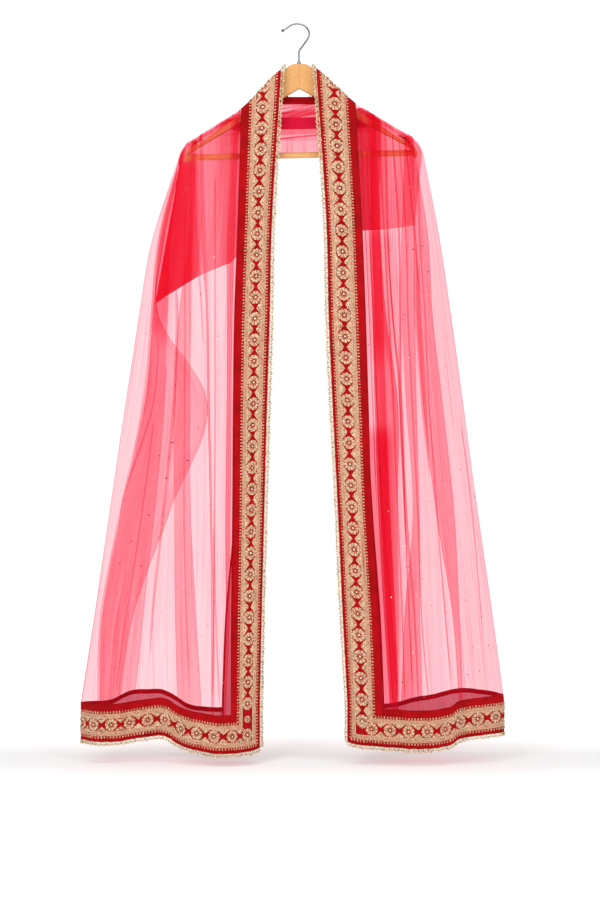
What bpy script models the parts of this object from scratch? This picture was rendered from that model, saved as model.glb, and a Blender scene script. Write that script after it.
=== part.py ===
"""Dupatta stole, folded in half along its length and hung over a wooden hanger.

Frame: metres, +Z up, +X to the viewer's right, +Y away from the viewer. The origin is the point inside the
crown of the hook where a rail would carry it.

The cloth is worked out as threads. A thread runs down a panel from the shoulder ridge, where the cloth lies
over the hanger arm, to the hem. A row of threads goes from the front long edge of the stole, outwards over
the front layer with its pleats, round the outer fold, and back inwards over the back layer.
"""

import bisect
import math

import bmesh
import bpy
from mathutils import Matrix, Vector

# ---------------------------------------------------------------------------------------------------------
# Driving sizes
# ---------------------------------------------------------------------------------------------------------

NET_WALL = 0.0010
VELVET_WALL = 0.0014
LACE_WALL = 0.0010
SEAM_GAP = 0.0003

LACE_WIDTH = 0.008
TAPE_WIDTH = 0.0685          # velvet border tape, without its lace
LACE_SHARE = LACE_WIDTH / (LACE_WIDTH + TAPE_WIDTH)

PLEAT_STEP = 0.003           # from one leg of a pleat to the next, middle to middle
PLEAT_BEND = 0.0012          # how far a crease is rounded
PLEAT_LEAD = 0.004           # a pleat's first leg is fully lifted this far before the pleat

FRONT_STANDOFF = 0.018       # front layer, in front of the middle of the hanger
BACK_STANDOFF = 0.009        # back layer, in front of the middle of the hanger
RIDGE_DROP = 0.012           # height in which the cloth turns from lying on the arm to hanging
UNDER_LAYER = 0.0028         # the back layer passes this far under the front one on the ridge
TURNS = (0, 25, 55)          # degrees turned over the arm at the first rows; the rest hang at 90
FALL_CURVE = 1.2             # above 1 the panel opens mostly in its lower half

HANGER_X = 0.0027            # the hook's neck stands a little to one side of its crown
HANGER_THICK = 0.012
HANGER_TILT = math.radians(1.2)
HANGER_PIVOT = Vector((HANGER_X, 0.0, -0.090))
WOOD_BEVEL = 0.0025
BAR_RADIUS = 0.0055
WIRE_RADIUS = 0.0015

# Heights at which the tables below give a thread's place, under its own start on the ridge.
LEVELS = {"chest": -0.4105, "breast": -0.5196, "rib": -0.6833, "waist": -0.8833, "knee": -1.0833, "hem": -1.2287}

# Threads of each panel in the order a row meets them. A pleat has two: the row goes on to the first crease,
# turns back to the second, and goes on again. The other threads are plain. "fold" is the outer fold, where
# the front layer becomes the back layer. The numbers are a thread's X on the ridge and at each level.
THREADS_LEFT = [
    # name             layer    kind     ridge   chest  breast    rib   waist    knee     hem
    ("lace_edge",      "front", "plain", -0.021, -0.040, -0.042, -0.047, -0.053, -0.059, -0.062),
    ("lace_seam",      "front", "plain", -0.029, -0.048, -0.050, -0.055, -0.060, -0.065, -0.068),
    ("tape_middle",    "front", "plain", -0.066, -0.077, -0.080, -0.083, -0.086, -0.090, -0.093),
    ("net_edge",       "front", "plain", -0.102, -0.110, -0.114, -0.116, -0.117, -0.119, -0.119),
    ("side_pleat",     "front", "first", -0.154, -0.172, -0.165, -0.162, -0.157, -0.154, -0.154),
    ("side_pleat_2",   "front", "second", -0.158, -0.166, -0.160, -0.157, -0.152, -0.146, -0.138),
    ("wide_pleat",     "front", "first", -0.184, -0.198, -0.220, -0.225, -0.225, -0.224, -0.221),
    ("wide_pleat_2",   "front", "second", -0.189, -0.193, -0.193, -0.195, -0.194, -0.184, -0.176),
    ("outer_fold",     "fold",  "plain", -0.217, -0.268, -0.286, -0.311, -0.341, -0.369, -0.391),
    ("back_pleat",     "back",  "first", -0.203, -0.245, -0.255, -0.165, -0.232, -0.303, -0.326),
    ("back_pleat_2",   "back",  "second", -0.198, -0.240, -0.262, -0.277, -0.319, -0.357, -0.362),
    ("back_net_edge",  "back",  "plain", -0.099, -0.108, -0.110, -0.112, -0.115, -0.132, -0.138),
    ("back_middle",    "back",  "plain", -0.068, -0.080, -0.083, -0.087, -0.091, -0.103, -0.108),
    ("back_lace_seam", "back",  "plain", -0.035, -0.054, -0.056, -0.061, -0.067, -0.074, -0.078),
    ("back_lace_edge", "back",  "plain", -0.027, -0.046, -0.048, -0.053, -0.059, -0.066, -0.070),
]
THREADS_RIGHT = [
    # name             layer    kind     ridge  chest  breast   rib  waist   knee    hem
    ("lace_edge",      "front", "plain", 0.025, 0.046, 0.048, 0.055, 0.065, 0.075, 0.084),
    ("lace_seam",      "front", "plain", 0.033, 0.054, 0.056, 0.063, 0.073, 0.082, 0.090),
    ("tape_middle",    "front", "plain", 0.070, 0.085, 0.088, 0.094, 0.102, 0.113, 0.120),
    ("net_edge",       "front", "plain", 0.105, 0.119, 0.123, 0.128, 0.134, 0.147, 0.152),
    ("dense_pleat",    "front", "first", 0.139, 0.152, 0.160, 0.183, 0.183, 0.186, 0.185),
    ("dense_pleat_2",  "front", "second", 0.144, 0.137, 0.138, 0.142, 0.147, 0.158, 0.165),
    ("outer_pleat",    "front", "first", 0.207, 0.238, 0.243, 0.261, 0.282, 0.292, 0.301),
    ("outer_pleat_2",  "front", "second", 0.212, 0.214, 0.215, 0.226, 0.249, 0.280, 0.290),
    ("outer_fold",     "fold",  "plain", 0.228, 0.261, 0.277, 0.300, 0.327, 0.356, 0.375),
    ("back_pleat",     "back",  "first", 0.196, 0.188, 0.189, 0.197, 0.210, 0.195, 0.190),
    ("back_pleat_2",   "back",  "second", 0.191, 0.214, 0.214, 0.217, 0.223, 0.225, 0.230),
    ("back_net_edge",  "back",  "plain", 0.101, 0.117, 0.121, 0.127, 0.141, 0.160, 0.172),
    ("back_middle",    "back",  "plain", 0.070, 0.088, 0.091, 0.098, 0.110, 0.126, 0.136),
    ("back_lace_seam", "back",  "plain", 0.039, 0.060, 0.062, 0.069, 0.079, 0.091, 0.101),
    ("back_lace_edge", "back",  "plain", 0.031, 0.052, 0.054, 0.061, 0.071, 0.083, 0.093),
]

# The lowest edge of the lace along the hem: X, depth Y and height Z, front layer then back layer.
HEM_LEFT = {
    "front": [
        (-0.391, -0.008, -1.3075), (-0.363, -0.036, -1.3070), (-0.326, -0.035, -1.3070),
        (-0.292, -0.025, -1.3030), (-0.270, -0.022, -1.3002), (-0.235, -0.028, -1.2996),
        (-0.215, -0.038, -1.3110), (-0.194, -0.050, -1.3169), (-0.177, -0.058, -1.3198),
        (-0.140, -0.070, -1.3236), (-0.098, -0.062, -1.3220), (-0.075, -0.048, -1.3195),
        (-0.062, -0.030, -1.3144),
    ],
    "back": [
        (-0.391, -0.008, -1.3075), (-0.375, 0.012, -1.3085), (-0.341, 0.032, -1.3080),
        (-0.312, 0.045, -1.2990), (-0.277, 0.048, -1.2960), (-0.250, 0.048, -1.2970),
        (-0.228, 0.038, -1.3040), (-0.205, 0.024, -1.3160), (-0.170, 0.012, -1.3190),
        (-0.138, 0.006, -1.3190), (-0.070, -0.008, -1.3160),
    ],
}
HEM_RIGHT = {
    "front": [
        (0.084, -0.032, -1.3064), (0.100, -0.046, -1.3090), (0.152, -0.056, -1.3130),
        (0.186, -0.060, -1.3150), (0.225, -0.062, -1.3160), (0.259, -0.058, -1.3130),
        (0.278, -0.050, -1.3090), (0.288, -0.043, -1.3020), (0.303, -0.035, -1.3000), (0.335, -0.030, -1.2960),
        (0.360, -0.024, -1.2940), (0.375, -0.004, -1.2938),
    ],
    "back": [
        (0.093, -0.006, -1.3100), (0.140, 0.008, -1.3125), (0.179, 0.022, -1.3130),
        (0.205, 0.034, -1.3100), (0.255, 0.042, -1.3035), (0.297, 0.042, -1.2935),
        (0.339, 0.030, -1.2940), (0.360, 0.016, -1.2940), (0.375, -0.004, -1.2938),
    ],
}

# The shoulder ridge, the top of the cloth over the arm: X and height Z.
RIDGE_LEFT = [
    (-0.217, -0.2490), (-0.212, -0.2309), (-0.202, -0.2158), (-0.176, -0.2007), (-0.141, -0.1782),
    (-0.108, -0.1585), (-0.081, -0.1344), (-0.051, -0.1013), (-0.030, -0.0816), (-0.021, -0.0725),
]
RIDGE_RIGHT = [
    (0.025, -0.0733), (0.032, -0.0778), (0.050, -0.0938), (0.072, -0.1149), (0.089, -0.1300),
    (0.107, -0.1449), (0.125, -0.1556), (0.155, -0.1736), (0.185, -0.1918), (0.208, -0.2038),
    (0.220, -0.2158), (0.228, -0.2324),
]

# The neck stretch of the net, from the left tip of the hanger to the right one. It hangs behind the arms as
# a flap on each side and is bunched behind the middle. Top X, how far the column has turned over the arm
# where it starts, in degrees, top Z (None: read from the ridge), bottom X and Z.
NECK_COLUMNS = [
    # top x  turn  top z   bottom x  bottom z
    (-0.2165,  0, None,    -0.260, -0.507),
    (-0.2120,  0, None,    -0.250, -0.500),
    (-0.2040,  0, None,    -0.239, -0.492),
    (-0.1950,  0, None,    -0.227, -0.485),
    (-0.1760,  0, None,    -0.203, -0.470),
    (-0.1580,  0, None,    -0.182, -0.457),
    (-0.1410,  0, None,    -0.160, -0.447),
    (-0.1250,  0, None,    -0.138, -0.438),
    (-0.1150,  0, None,    -0.122, -0.432),
    (-0.1050, 50, None,    -0.107, -0.416),
    (-0.1025, 90, -0.1715, -0.102, -0.405),
    (-0.0700, 90, -0.1640, -0.070, -0.330),
    (-0.0350, 90, -0.1530, -0.036, -0.2385),
    (0.0030,  90, -0.1450,  0.003, -0.2365),
    (0.0400,  90, -0.1500,  0.040, -0.2370),
    (0.0720,  90, -0.1570,  0.078, -0.310),
    (0.1055,  90, -0.1610,  0.108, -0.365),
    (0.1082,  50, None,     0.113, -0.372),
    (0.1180,   0, None,     0.122, -0.373),
    (0.1320,   0, None,     0.137, -0.372),
    (0.1550,   0, None,     0.160, -0.371),
    (0.1800,   0, None,     0.183, -0.368),
    (0.2060,   0, None,     0.203, -0.365),
    (0.2190,   0, None,     0.209, -0.364),
    (0.2265,   0, None,     0.214, -0.363),
]
NECK_REAR_Y = 0.0165
NECK_INNER_Y = 0.0105
NECK_BUNCH = 0.0012          # depth of the bunched creases behind the middle
NECK_BUNCH_WIDTH = 0.060     # they fade out over this distance from the middle
NECK_CREASES = 5             # half waves from top to bottom
NECK_SHARES = (0.0, 0.25, 0.5, 0.75, 0.97)    # rows of a layer, down its fall
NECK_TURN_STEPS = 3
NECK_TOP_STEP = 0.002        # rows at the top of the bunched columns, which don't pass over the arm

# The long border behind the neck, across its width from the net side to the lace edge. It is gathered behind
# the middle: share of the tape's width, then depth Y and height Z there.
NECK_TAPE_SECTION = [
    # share                 y       z
    (0.00,                  0.0115, -0.1435),
    (0.30,                  0.0120, -0.1385),
    (0.55,                  0.0138, -0.1345),
    (0.75,                  0.0165, -0.1325),
    (1.0 - LACE_SHARE,      0.0195, -0.1335),
    (1.00,                  0.0225, -0.1365),
]
NECK_TAPE_STANDOFF = 0.0135
NECK_TAPE_PARTS = (0.2, 0.4, 0.6, 0.8)        # columns between a shoulder and the middle

# Half of the hanger, as if level: distance from the middle and height of the outline. The strap notch is cut
# under an overhanging lip, and the foot at the tip takes the end of the bar.
ARM_OUTLINE = [
    (0.00015, -0.0720), (0.011, -0.0727), (0.018, -0.0755), (0.027, -0.0835), (0.052, -0.1075),
    (0.082, -0.1390), (0.112, -0.1650), (0.146, -0.1876), (0.186, -0.2152), (0.189, -0.2150),
    (0.187, -0.2105), (0.178, -0.2055), (0.180, -0.2035), (0.197, -0.2145), (0.2070, -0.2275),
    (0.2125, -0.2400), (0.2110, -0.2465), (0.2050, -0.2455), (0.2045, -0.2312), (0.200, -0.2285),
    (0.140, -0.1945), (0.082, -0.1610), (0.028, -0.1320), (0.00015, -0.1165),
]
BAR_END = 0.2040
BAR_Z = -0.2376

# The hook's wire, from just above the ferrule up round the crown to the ball at its open end: X and Z.
HOOK_ROUTE = [
    (0.0027, -0.0672), (0.0027, -0.0520), (0.0033, -0.0475), (0.0075, -0.0415), (0.0140, -0.0325),
    (0.0195, -0.0240), (0.0213, -0.0160), (0.0178, -0.0069), (0.0100, -0.0007), (0.0000, 0.0015),
    (-0.0065, 0.0008), (-0.0127, -0.0013), (-0.0202, -0.0069), (-0.0238, -0.0092),
]
HOOK_BALL = (-0.02667, -0.01087)
HOOK_BALL_RADIUS = 0.0030
HOOK_BALL_STEPS = 8          # rings from pole to pole
# The ferrule, a small turned cup that the wire stands in: radius and height, from its top down.
FERRULE_PROFILE = [(0.0, -0.0675), (0.0023, -0.0675), (0.0038, -0.0690), (0.0038, -0.0717), (0.0, -0.0717)]

NET_STEP = 0.038             # greatest distance between threads that are filled in
PANEL_ROWS = 8               # rows of net below the ridge


# ---------------------------------------------------------------------------------------------------------
# Small helpers
# ---------------------------------------------------------------------------------------------------------

def clear_scene():
    for item in list(bpy.data.objects):
        bpy.data.objects.remove(item, do_unlink=True)


def blend(a, b, share):
    return a + (b - a) * share


def smooth(share):
    share = min(max(share, 0.0), 1.0)
    return share * share * (3.0 - 2.0 * share)


def look_up(table, x, column=1):
    """Read a column of a table sorted by its first column, between its rows and held at its ends."""
    keys = [row[0] for row in table]
    if x <= keys[0]:
        return table[0][column]
    if x >= keys[-1]:
        return table[-1][column]
    after = bisect.bisect_right(keys, x)
    low, high = table[after - 1], table[after]
    return blend(low[column], high[column], (x - low[0]) / (high[0] - low[0]))


def material(name, colour, roughness, metallic=0.0):
    made = bpy.data.materials.new(name)
    made.use_nodes = True
    shader = made.node_tree.nodes["Principled BSDF"]
    shader.inputs["Base Color"].default_value = (*colour, 1.0)
    shader.inputs["Roughness"].default_value = roughness
    shader.inputs["Metallic"].default_value = metallic
    return made


def add_object(name, mesh, finish):
    made = bpy.data.objects.new(name, mesh)
    mesh.materials.append(finish)
    bpy.context.scene.collection.objects.link(made)
    return made


# ---------------------------------------------------------------------------------------------------------
# Cloth walls
# ---------------------------------------------------------------------------------------------------------

def grid_normals(points):
    """A unit normal at each point of a grid, from its neighbours along and across."""
    rows, columns = len(points), len(points[0])
    normals = []
    for r in range(rows):
        line = []
        for c in range(columns):
            along = points[r][min(c + 1, columns - 1)] - points[r][max(c - 1, 0)]
            down = points[min(r + 1, rows - 1)][c] - points[max(r - 1, 0)][c]
            line.append(along.cross(down).normalized())
        normals.append(line)
    return normals


def cut_patch(points, normals, rows, columns):
    """The part of a grid between two rows and two columns, its free sides drawn in by half a seam gap."""
    first_row, last_row = rows
    first_column, last_column = columns
    patch = [[points[r][c].copy() for c in range(first_column, last_column + 1)]
             for r in range(first_row, last_row + 1)]
    facing = [[normals[r][c] for c in range(first_column, last_column + 1)]
              for r in range(first_row, last_row + 1)]
    draw_in = SEAM_GAP / 2
    for line in patch:
        line[0] += (line[1] - line[0]).normalized() * draw_in
        line[-1] += (line[-2] - line[-1]).normalized() * draw_in
    for c in range(len(patch[0])):
        patch[0][c] += (patch[1][c] - patch[0][c]).normalized() * draw_in
        patch[-1][c] += (patch[-2][c] - patch[-1][c]).normalized() * draw_in
    return patch, facing


def wall(name, points, normals, thickness, finish):
    """A closed wall of even thickness on a grid of points."""
    rows, columns = len(points), len(points[0])
    shape = bmesh.new()
    sides = []
    for offset in (thickness / 2, -thickness / 2):
        sides.append([[shape.verts.new(points[r][c] + normals[r][c] * offset) for c in range(columns)]
                      for r in range(rows)])
    top, under = sides
    for r in range(rows - 1):
        for c in range(columns - 1):
            shape.faces.new((top[r][c], top[r + 1][c], top[r + 1][c + 1], top[r][c + 1]))
            shape.faces.new((under[r][c], under[r][c + 1], under[r + 1][c + 1], under[r + 1][c]))
    rim = [(0, c) for c in range(columns - 1)]
    rim += [(r, columns - 1) for r in range(rows - 1)]
    rim += [(rows - 1, c) for c in range(columns - 1, 0, -1)]
    rim += [(r, 0) for r in range(rows - 1, 0, -1)]
    for here, there in zip(rim, rim[1:] + rim[:1]):
        shape.faces.new((top[here[0]][here[1]], top[there[0]][there[1]],
                         under[there[0]][there[1]], under[here[0]][here[1]]))
    bmesh.ops.triangulate(shape, faces=shape.faces[:])
    bmesh.ops.recalc_face_normals(shape, faces=shape.faces[:])
    mesh = bpy.data.meshes.new(name)
    shape.to_mesh(mesh)
    shape.free()
    mesh.shade_smooth()
    return add_object(name, mesh, finish)


# ---------------------------------------------------------------------------------------------------------
# The panels
# ---------------------------------------------------------------------------------------------------------

def make_thread(name, layer, tracks, lift=0.0, slide=0.0, closed_slide=0.0):
    """A thread: its X on the ridge and at each level, its layer, how many pleat steps it is lifted, and how
    far it sits from its track before (slide) and after (closed_slide) the pleat has closed."""
    return {"name": name, "layer": layer, "tracks": list(tracks), "lift": lift,
            "slide": slide, "closed_slide": closed_slide}


def pleat_threads(first, second, heading):
    """The threads of one pleat. heading is +1 or -1, the way in X that the row travels.

    The first leg is lifted two steps, the leg that turns back one step, and the last leg lies flat."""
    name, layer = first[0], first[1]
    out, back = first[3:], second[3:]
    lead = []
    for a, b in zip(out, back):
        reach = min(a * heading, b * heading) - PLEAT_LEAD
        lead.append(reach * heading)
    bend = PLEAT_BEND * heading
    return [
        make_thread(name + "_lead", layer, lead, lift=2.0),
        make_thread(name + "_a", layer, out, lift=2.0, slide=-bend, closed_slide=-bend),
        make_thread(name, layer, out, lift=1.5),
        make_thread(name + "_b", layer, out, lift=1.0, slide=bend, closed_slide=-bend),
        make_thread(name + "_c", layer, back, lift=1.0, slide=-bend, closed_slide=bend),
        make_thread(name + "_d", layer, back, lift=0.5),
        make_thread(name + "_e", layer, back, lift=0.0, slide=bend, closed_slide=bend),
    ]


def fill_between(a, b):
    """Extra threads between two, so that no gap is wider than the net step."""
    gap = max(abs(p - q) for p, q in zip(a["tracks"], b["tracks"]))
    parts = max(1, math.ceil(gap / NET_STEP))
    layer = b["layer"] if a["layer"] == "fold" else a["layer"]
    made = []
    for part in range(1, parts):
        share = part / parts
        tracks = [blend(p, q, share) for p, q in zip(a["tracks"], b["tracks"])]
        made.append(make_thread("fill", layer, tracks, lift=blend(a["lift"], b["lift"], share)))
    return made


def panel_threads(table, side):
    """All threads of a panel in order, with pleats rounded and wide gaps filled."""
    known = []
    index = 0
    while index < len(table):
        row = table[index]
        if row[2] == "first":
            heading = side if row[1] == "front" else -side
            known += pleat_threads(row, table[index + 1], heading)
            index += 2
        else:
            known.append(make_thread(row[0], row[1], row[3:]))
            index += 1
    threads = [known[0]]
    for before, after in zip(known, known[1:]):
        threads += fill_between(before, after)
        threads.append(after)
    return threads


def row_heights(top, bottom):
    """Heights of the rows of one thread, from the ridge to the lowest edge of the lace, and the angle by
    which the cloth has turned over the arm at each."""
    heights = [(top - RIDGE_DROP * (1.0 - math.cos(math.radians(turn))), turn) for turn in TURNS]
    net_end = bottom + LACE_WIDTH + TAPE_WIDTH
    hang = top - RIDGE_DROP
    heights += [(blend(hang, net_end, part / PANEL_ROWS), 90) for part in range(PANEL_ROWS + 1)]
    heights += [(bottom + LACE_WIDTH + TAPE_WIDTH / 2, 90)]
    heights += [(bottom + LACE_WIDTH, 90), (bottom, 90)]
    return heights


def thread_points(thread, ridge_table, hem_tables):
    """The points of one thread, from the ridge to the hem."""
    tracks = thread["tracks"]
    layer = thread["layer"]
    hem_table = hem_tables["back" if layer == "back" else "front"]
    top = look_up(ridge_table, tracks[0])
    standoff = {"front": FRONT_STANDOFF, "back": BACK_STANDOFF,
                "fold": (FRONT_STANDOFF + BACK_STANDOFF) / 2}[layer]
    if layer == "back":
        top -= UNDER_LAYER
    hem_y = look_up(hem_table, tracks[-1], 1)
    bottom = look_up(hem_table, tracks[-1], 2)
    levels = sorted(zip([top] + list(LEVELS.values()), tracks))
    points = []
    for height, turn in row_heights(top, bottom):
        fallen = (top - height) / (top - bottom)
        base_y = blend(-standoff, hem_y, fallen ** FALL_CURVE) * math.sin(math.radians(turn))
        closed = smooth((top - height) / (top - LEVELS["chest"]))
        x = look_up(levels, height) + blend(thread["slide"], thread["closed_slide"], closed)
        y = base_y - thread["lift"] * PLEAT_STEP * closed
        points.append(Vector((x, y, height)))
    return points


def build_panel(side_name, side, thread_table, hem_tables, ridge_table, finishes):
    """Every cloth piece of one panel."""
    threads = panel_threads(thread_table, side)
    columns = [thread_points(thread, ridge_table, hem_tables) for thread in threads]
    points = [list(row) for row in zip(*columns)]
    normals = grid_normals(points)
    for line in normals[len(TURNS):]:
        for normal in line:
            normal.z = 0.0
            normal.normalize()

    place = {thread["name"]: index for index, thread in enumerate(threads)}
    last_column = len(threads) - 1
    lowest = len(points) - 1
    lace_row = lowest - 1
    net_row = lowest - 3
    cuts = [
        # node            rows               from thread       to thread         wall         finish
        ("lace_front_", (0, lowest), "lace_edge", "lace_seam", LACE_WALL, "lace"),
        ("border_front_", (0, lace_row), "lace_seam", "net_edge", VELVET_WALL, "velvet"),
        ("net_", (0, net_row), "net_edge", "back_net_edge", NET_WALL, "net"),
        ("hem_border_", (net_row, lace_row), "net_edge", "back_net_edge", VELVET_WALL, "velvet"),
        ("border_back_", (0, lace_row), "back_net_edge", "back_lace_seam", VELVET_WALL, "velvet"),
        ("lace_hem_", (lace_row, lowest), "lace_seam", "back_lace_seam", LACE_WALL, "lace"),
        ("lace_back_", (0, lowest), "back_lace_seam", "back_lace_edge", LACE_WALL, "lace"),
    ]
    assert place["back_lace_edge"] == last_column
    for stem, rows, start, end, thickness, finish in cuts:
        patch, facing = cut_patch(points, normals, rows, (place[start], place[end]))
        wall(stem + side_name, patch, facing, thickness, finishes[finish])


# ---------------------------------------------------------------------------------------------------------
# The neck stretch
# ---------------------------------------------------------------------------------------------------------

def ridge_height(x):
    return look_up(RIDGE_LEFT if x < 0 else RIDGE_RIGHT, x)


def over_the_arm(x, top, standoff, turn):
    """A point of a layer that lies over the arm, where it has turned through this angle."""
    swing = math.radians(turn)
    return Vector((x, standoff * math.sin(swing), top - RIDGE_DROP * (1.0 - math.cos(swing))))


def neck_layer(column, standoff, lowered):
    """One layer of a neck column, from its top to just above its lower fold."""
    top_x, start_turn, top_z, bottom_x, bottom_z = column
    top = (ridge_height(top_x) if top_z is None else top_z + RIDGE_DROP) - lowered
    near = smooth(1.0 - abs(top_x - HANGER_X) / NECK_BUNCH_WIDTH)
    points = [over_the_arm(top_x, top, standoff, blend(start_turn, 90, step / NECK_TURN_STEPS))
              for step in range(NECK_TURN_STEPS)]
    if start_turn == 90:
        for step, point in enumerate(points):
            point.z -= NECK_TOP_STEP * step
    hang = points[-1].z - NECK_TOP_STEP if start_turn == 90 else top - RIDGE_DROP
    for share in NECK_SHARES:
        crease = NECK_BUNCH * near * math.sin(share * NECK_CREASES * math.pi)
        points.append(Vector((blend(top_x, bottom_x, share), standoff + crease, blend(hang, bottom_z, share))))
    return points


def neck_column(column):
    """One column of the neck stretch: down the rear layer, round the lower fold and up the inner layer."""
    rear = neck_layer(column, NECK_REAR_Y, 0.0)
    inner = neck_layer(column, NECK_INNER_Y, UNDER_LAYER)
    fold = Vector((column[3], (NECK_REAR_Y + NECK_INNER_Y) / 2, column[4]))
    return rear + [fold] + inner[::-1]


def build_neck_net(finishes):
    columns = [neck_column(row) for row in NECK_COLUMNS]
    points = [list(row) for row in zip(*columns)]
    normals = grid_normals(points)
    patch, facing = cut_patch(points, normals, (0, len(points) - 1), (0, len(columns) - 1))
    wall("net_neck", patch, facing, NET_WALL, finishes["net"])


def ridge_x(table, name):
    """Where a named thread crosses the ridge."""
    return next(row[3] for row in table if row[0] == name)


def neck_tape_thread(share, middle_y, middle_z):
    """One thread of the border behind the neck, from the left ridge over the arm, behind the hanger's
    middle, and back over the right arm."""
    left_x, right_x = [blend(ridge_x(table, "net_edge"), ridge_x(table, "lace_edge"), share)
                       for table in (THREADS_LEFT, THREADS_RIGHT)]
    middle = Vector((HANGER_X, middle_y, middle_z))
    halves = []
    for x in (left_x, right_x):
        top = ridge_height(x)
        half = [over_the_arm(x, top, NECK_TAPE_STANDOFF, turn) for turn in TURNS + (90,)]
        shoulder = half[-1]
        for part in NECK_TAPE_PARTS:
            point = shoulder.lerp(middle, part)
            point.z = blend(shoulder.z, middle.z, smooth(part))
            half.append(point)
        halves.append(half)
    return halves[0] + [middle] + halves[1][::-1]


def build_neck_tape(finishes):
    points = [neck_tape_thread(*row) for row in NECK_TAPE_SECTION]
    normals = grid_normals(points)
    length = len(points[0]) - 1
    last = len(points) - 1
    patch, facing = cut_patch(points, normals, (0, last - 1), (0, length))
    wall("border_neck", patch, facing, VELVET_WALL, finishes["velvet"])
    patch, facing = cut_patch(points, normals, (last - 1, last), (0, length))
    wall("lace_neck", patch, facing, LACE_WALL, finishes["lace"])


# ---------------------------------------------------------------------------------------------------------
# The hanger
# ---------------------------------------------------------------------------------------------------------

def tilted(point):
    """Turn a point of the level hanger by the angle at which it hangs."""
    return Matrix.Rotation(-HANGER_TILT, 3, "Y") @ (point - HANGER_PIVOT) + HANGER_PIVOT


def build_arm(name, side, finish):
    shape = bmesh.new()
    outline = [tilted(Vector((HANGER_X + side * out, -HANGER_THICK / 2, z))) for out, z in ARM_OUTLINE]
    face = shape.faces.new([shape.verts.new(point) for point in outline])
    grown = bmesh.ops.extrude_face_region(shape, geom=[face])
    moved = [item for item in grown["geom"] if isinstance(item, bmesh.types.BMVert)]
    bmesh.ops.translate(shape, verts=moved, vec=Vector((0.0, HANGER_THICK, 0.0)))
    bmesh.ops.recalc_face_normals(shape, faces=shape.faces[:])
    mesh = bpy.data.meshes.new(name)
    shape.to_mesh(mesh)
    shape.free()
    made = add_object(name, mesh, finish)
    bevel = made.modifiers.new("rounded_edges", "BEVEL")
    bevel.width = WOOD_BEVEL
    bevel.segments = 2
    bevel.limit_method = "ANGLE"
    bevel.angle_limit = math.radians(60)
    bevel.use_clamp_overlap = True
    return made


def tube_curve(name, route, radius, finish, resolution=3):
    curve = bpy.data.curves.new(name, "CURVE")
    curve.dimensions = "3D"
    curve.bevel_depth = radius
    curve.bevel_resolution = resolution
    curve.use_fill_caps = True
    spline = curve.splines.new("POLY")
    spline.points.add(len(route) - 1)
    for point, place in zip(spline.points, route):
        point.co = (*place, 1.0)
    return add_object(name, curve, finish)


def smooth_route(corners, per_span):
    """Points on a Catmull-Rom curve through the corners."""
    padded = [corners[0] * 2 - corners[1]] + corners + [corners[-1] * 2 - corners[-2]]
    route = []
    for i in range(1, len(padded) - 2):
        a, b, c, d = padded[i - 1:i + 3]
        for part in range(per_span):
            t = part / per_span
            route.append(((b * 2) + (c - a) * t + (a * 2 - b * 5 + c * 4 - d) * t * t
                          + (b * 3 - a - c * 3 + d) * t * t * t) / 2)
    route.append(corners[-1])
    return route


def turned_solid(name, profile, centre, finish, segments):
    """A solid turned about a vertical axis. The profile goes from its top pole to its bottom pole."""
    shape = bmesh.new()
    rings = []
    for radius, z in profile:
        if radius == 0.0:
            rings.append([shape.verts.new((centre[0], centre[1], z))])
            continue
        ring = []
        for step in range(segments):
            angle = 2.0 * math.pi * step / segments
            ring.append(shape.verts.new((centre[0] + radius * math.cos(angle),
                                         centre[1] + radius * math.sin(angle), z)))
        rings.append(ring)
    for above, below in zip(rings, rings[1:]):
        for step in range(segments):
            after = (step + 1) % segments
            corners = [above[step % len(above)], below[step % len(below)],
                       below[after % len(below)], above[after % len(above)]]
            kept = list(dict.fromkeys(corners))
            shape.faces.new(kept)
    bmesh.ops.recalc_face_normals(shape, faces=shape.faces[:])
    mesh = bpy.data.meshes.new(name)
    shape.to_mesh(mesh)
    shape.free()
    mesh.shade_smooth()
    return add_object(name, mesh, finish)


def build_hanger(finishes):
    build_arm("hanger_arm_left", -1, finishes["wood"])
    build_arm("hanger_arm_right", 1, finishes["wood"])
    ends = [tilted(Vector((HANGER_X + side * BAR_END, 0.0, BAR_Z))) for side in (-1, 1)]
    tube_curve("hanger_bar", ends, BAR_RADIUS, finishes["wood"], resolution=4)
    route = smooth_route([Vector((x, 0.0, z)) for x, z in HOOK_ROUTE], per_span=3)
    tube_curve("hanger_hook", route, WIRE_RADIUS, finishes["chrome"], resolution=2)
    ball_x, ball_z = HOOK_BALL
    ball = [(0.0, ball_z + HOOK_BALL_RADIUS)]
    for step in range(1, HOOK_BALL_STEPS):
        angle = math.pi * step / HOOK_BALL_STEPS
        ball.append((HOOK_BALL_RADIUS * math.sin(angle), ball_z + HOOK_BALL_RADIUS * math.cos(angle)))
    ball.append((0.0, ball_z - HOOK_BALL_RADIUS))
    turned_solid("hook_ball", ball, (ball_x, 0.0), finishes["chrome"], segments=16)
    turned_solid("hanger_ferrule", FERRULE_PROFILE, (HANGER_X, 0.0), finishes["chrome"], segments=20)


def main():
    clear_scene()
    finishes = {
        "net": material("net", (0.90, 0.20, 0.26), 0.6),
        "velvet": material("velvet", (0.42, 0.005, 0.012), 0.85),
        "lace": material("lace", (0.62, 0.50, 0.28), 0.5, 0.3),
        "wood": material("wood", (0.72, 0.40, 0.16), 0.45),
        "chrome": material("chrome", (0.62, 0.62, 0.63), 0.18, 1.0),
    }
    build_hanger(finishes)
    build_panel("left", -1, THREADS_LEFT, HEM_LEFT, RIDGE_LEFT, finishes)
    build_panel("right", 1, THREADS_RIGHT, HEM_RIGHT, RIDGE_RIGHT, finishes)
    build_neck_net(finishes)
    build_neck_tape(finishes)


main()
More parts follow.
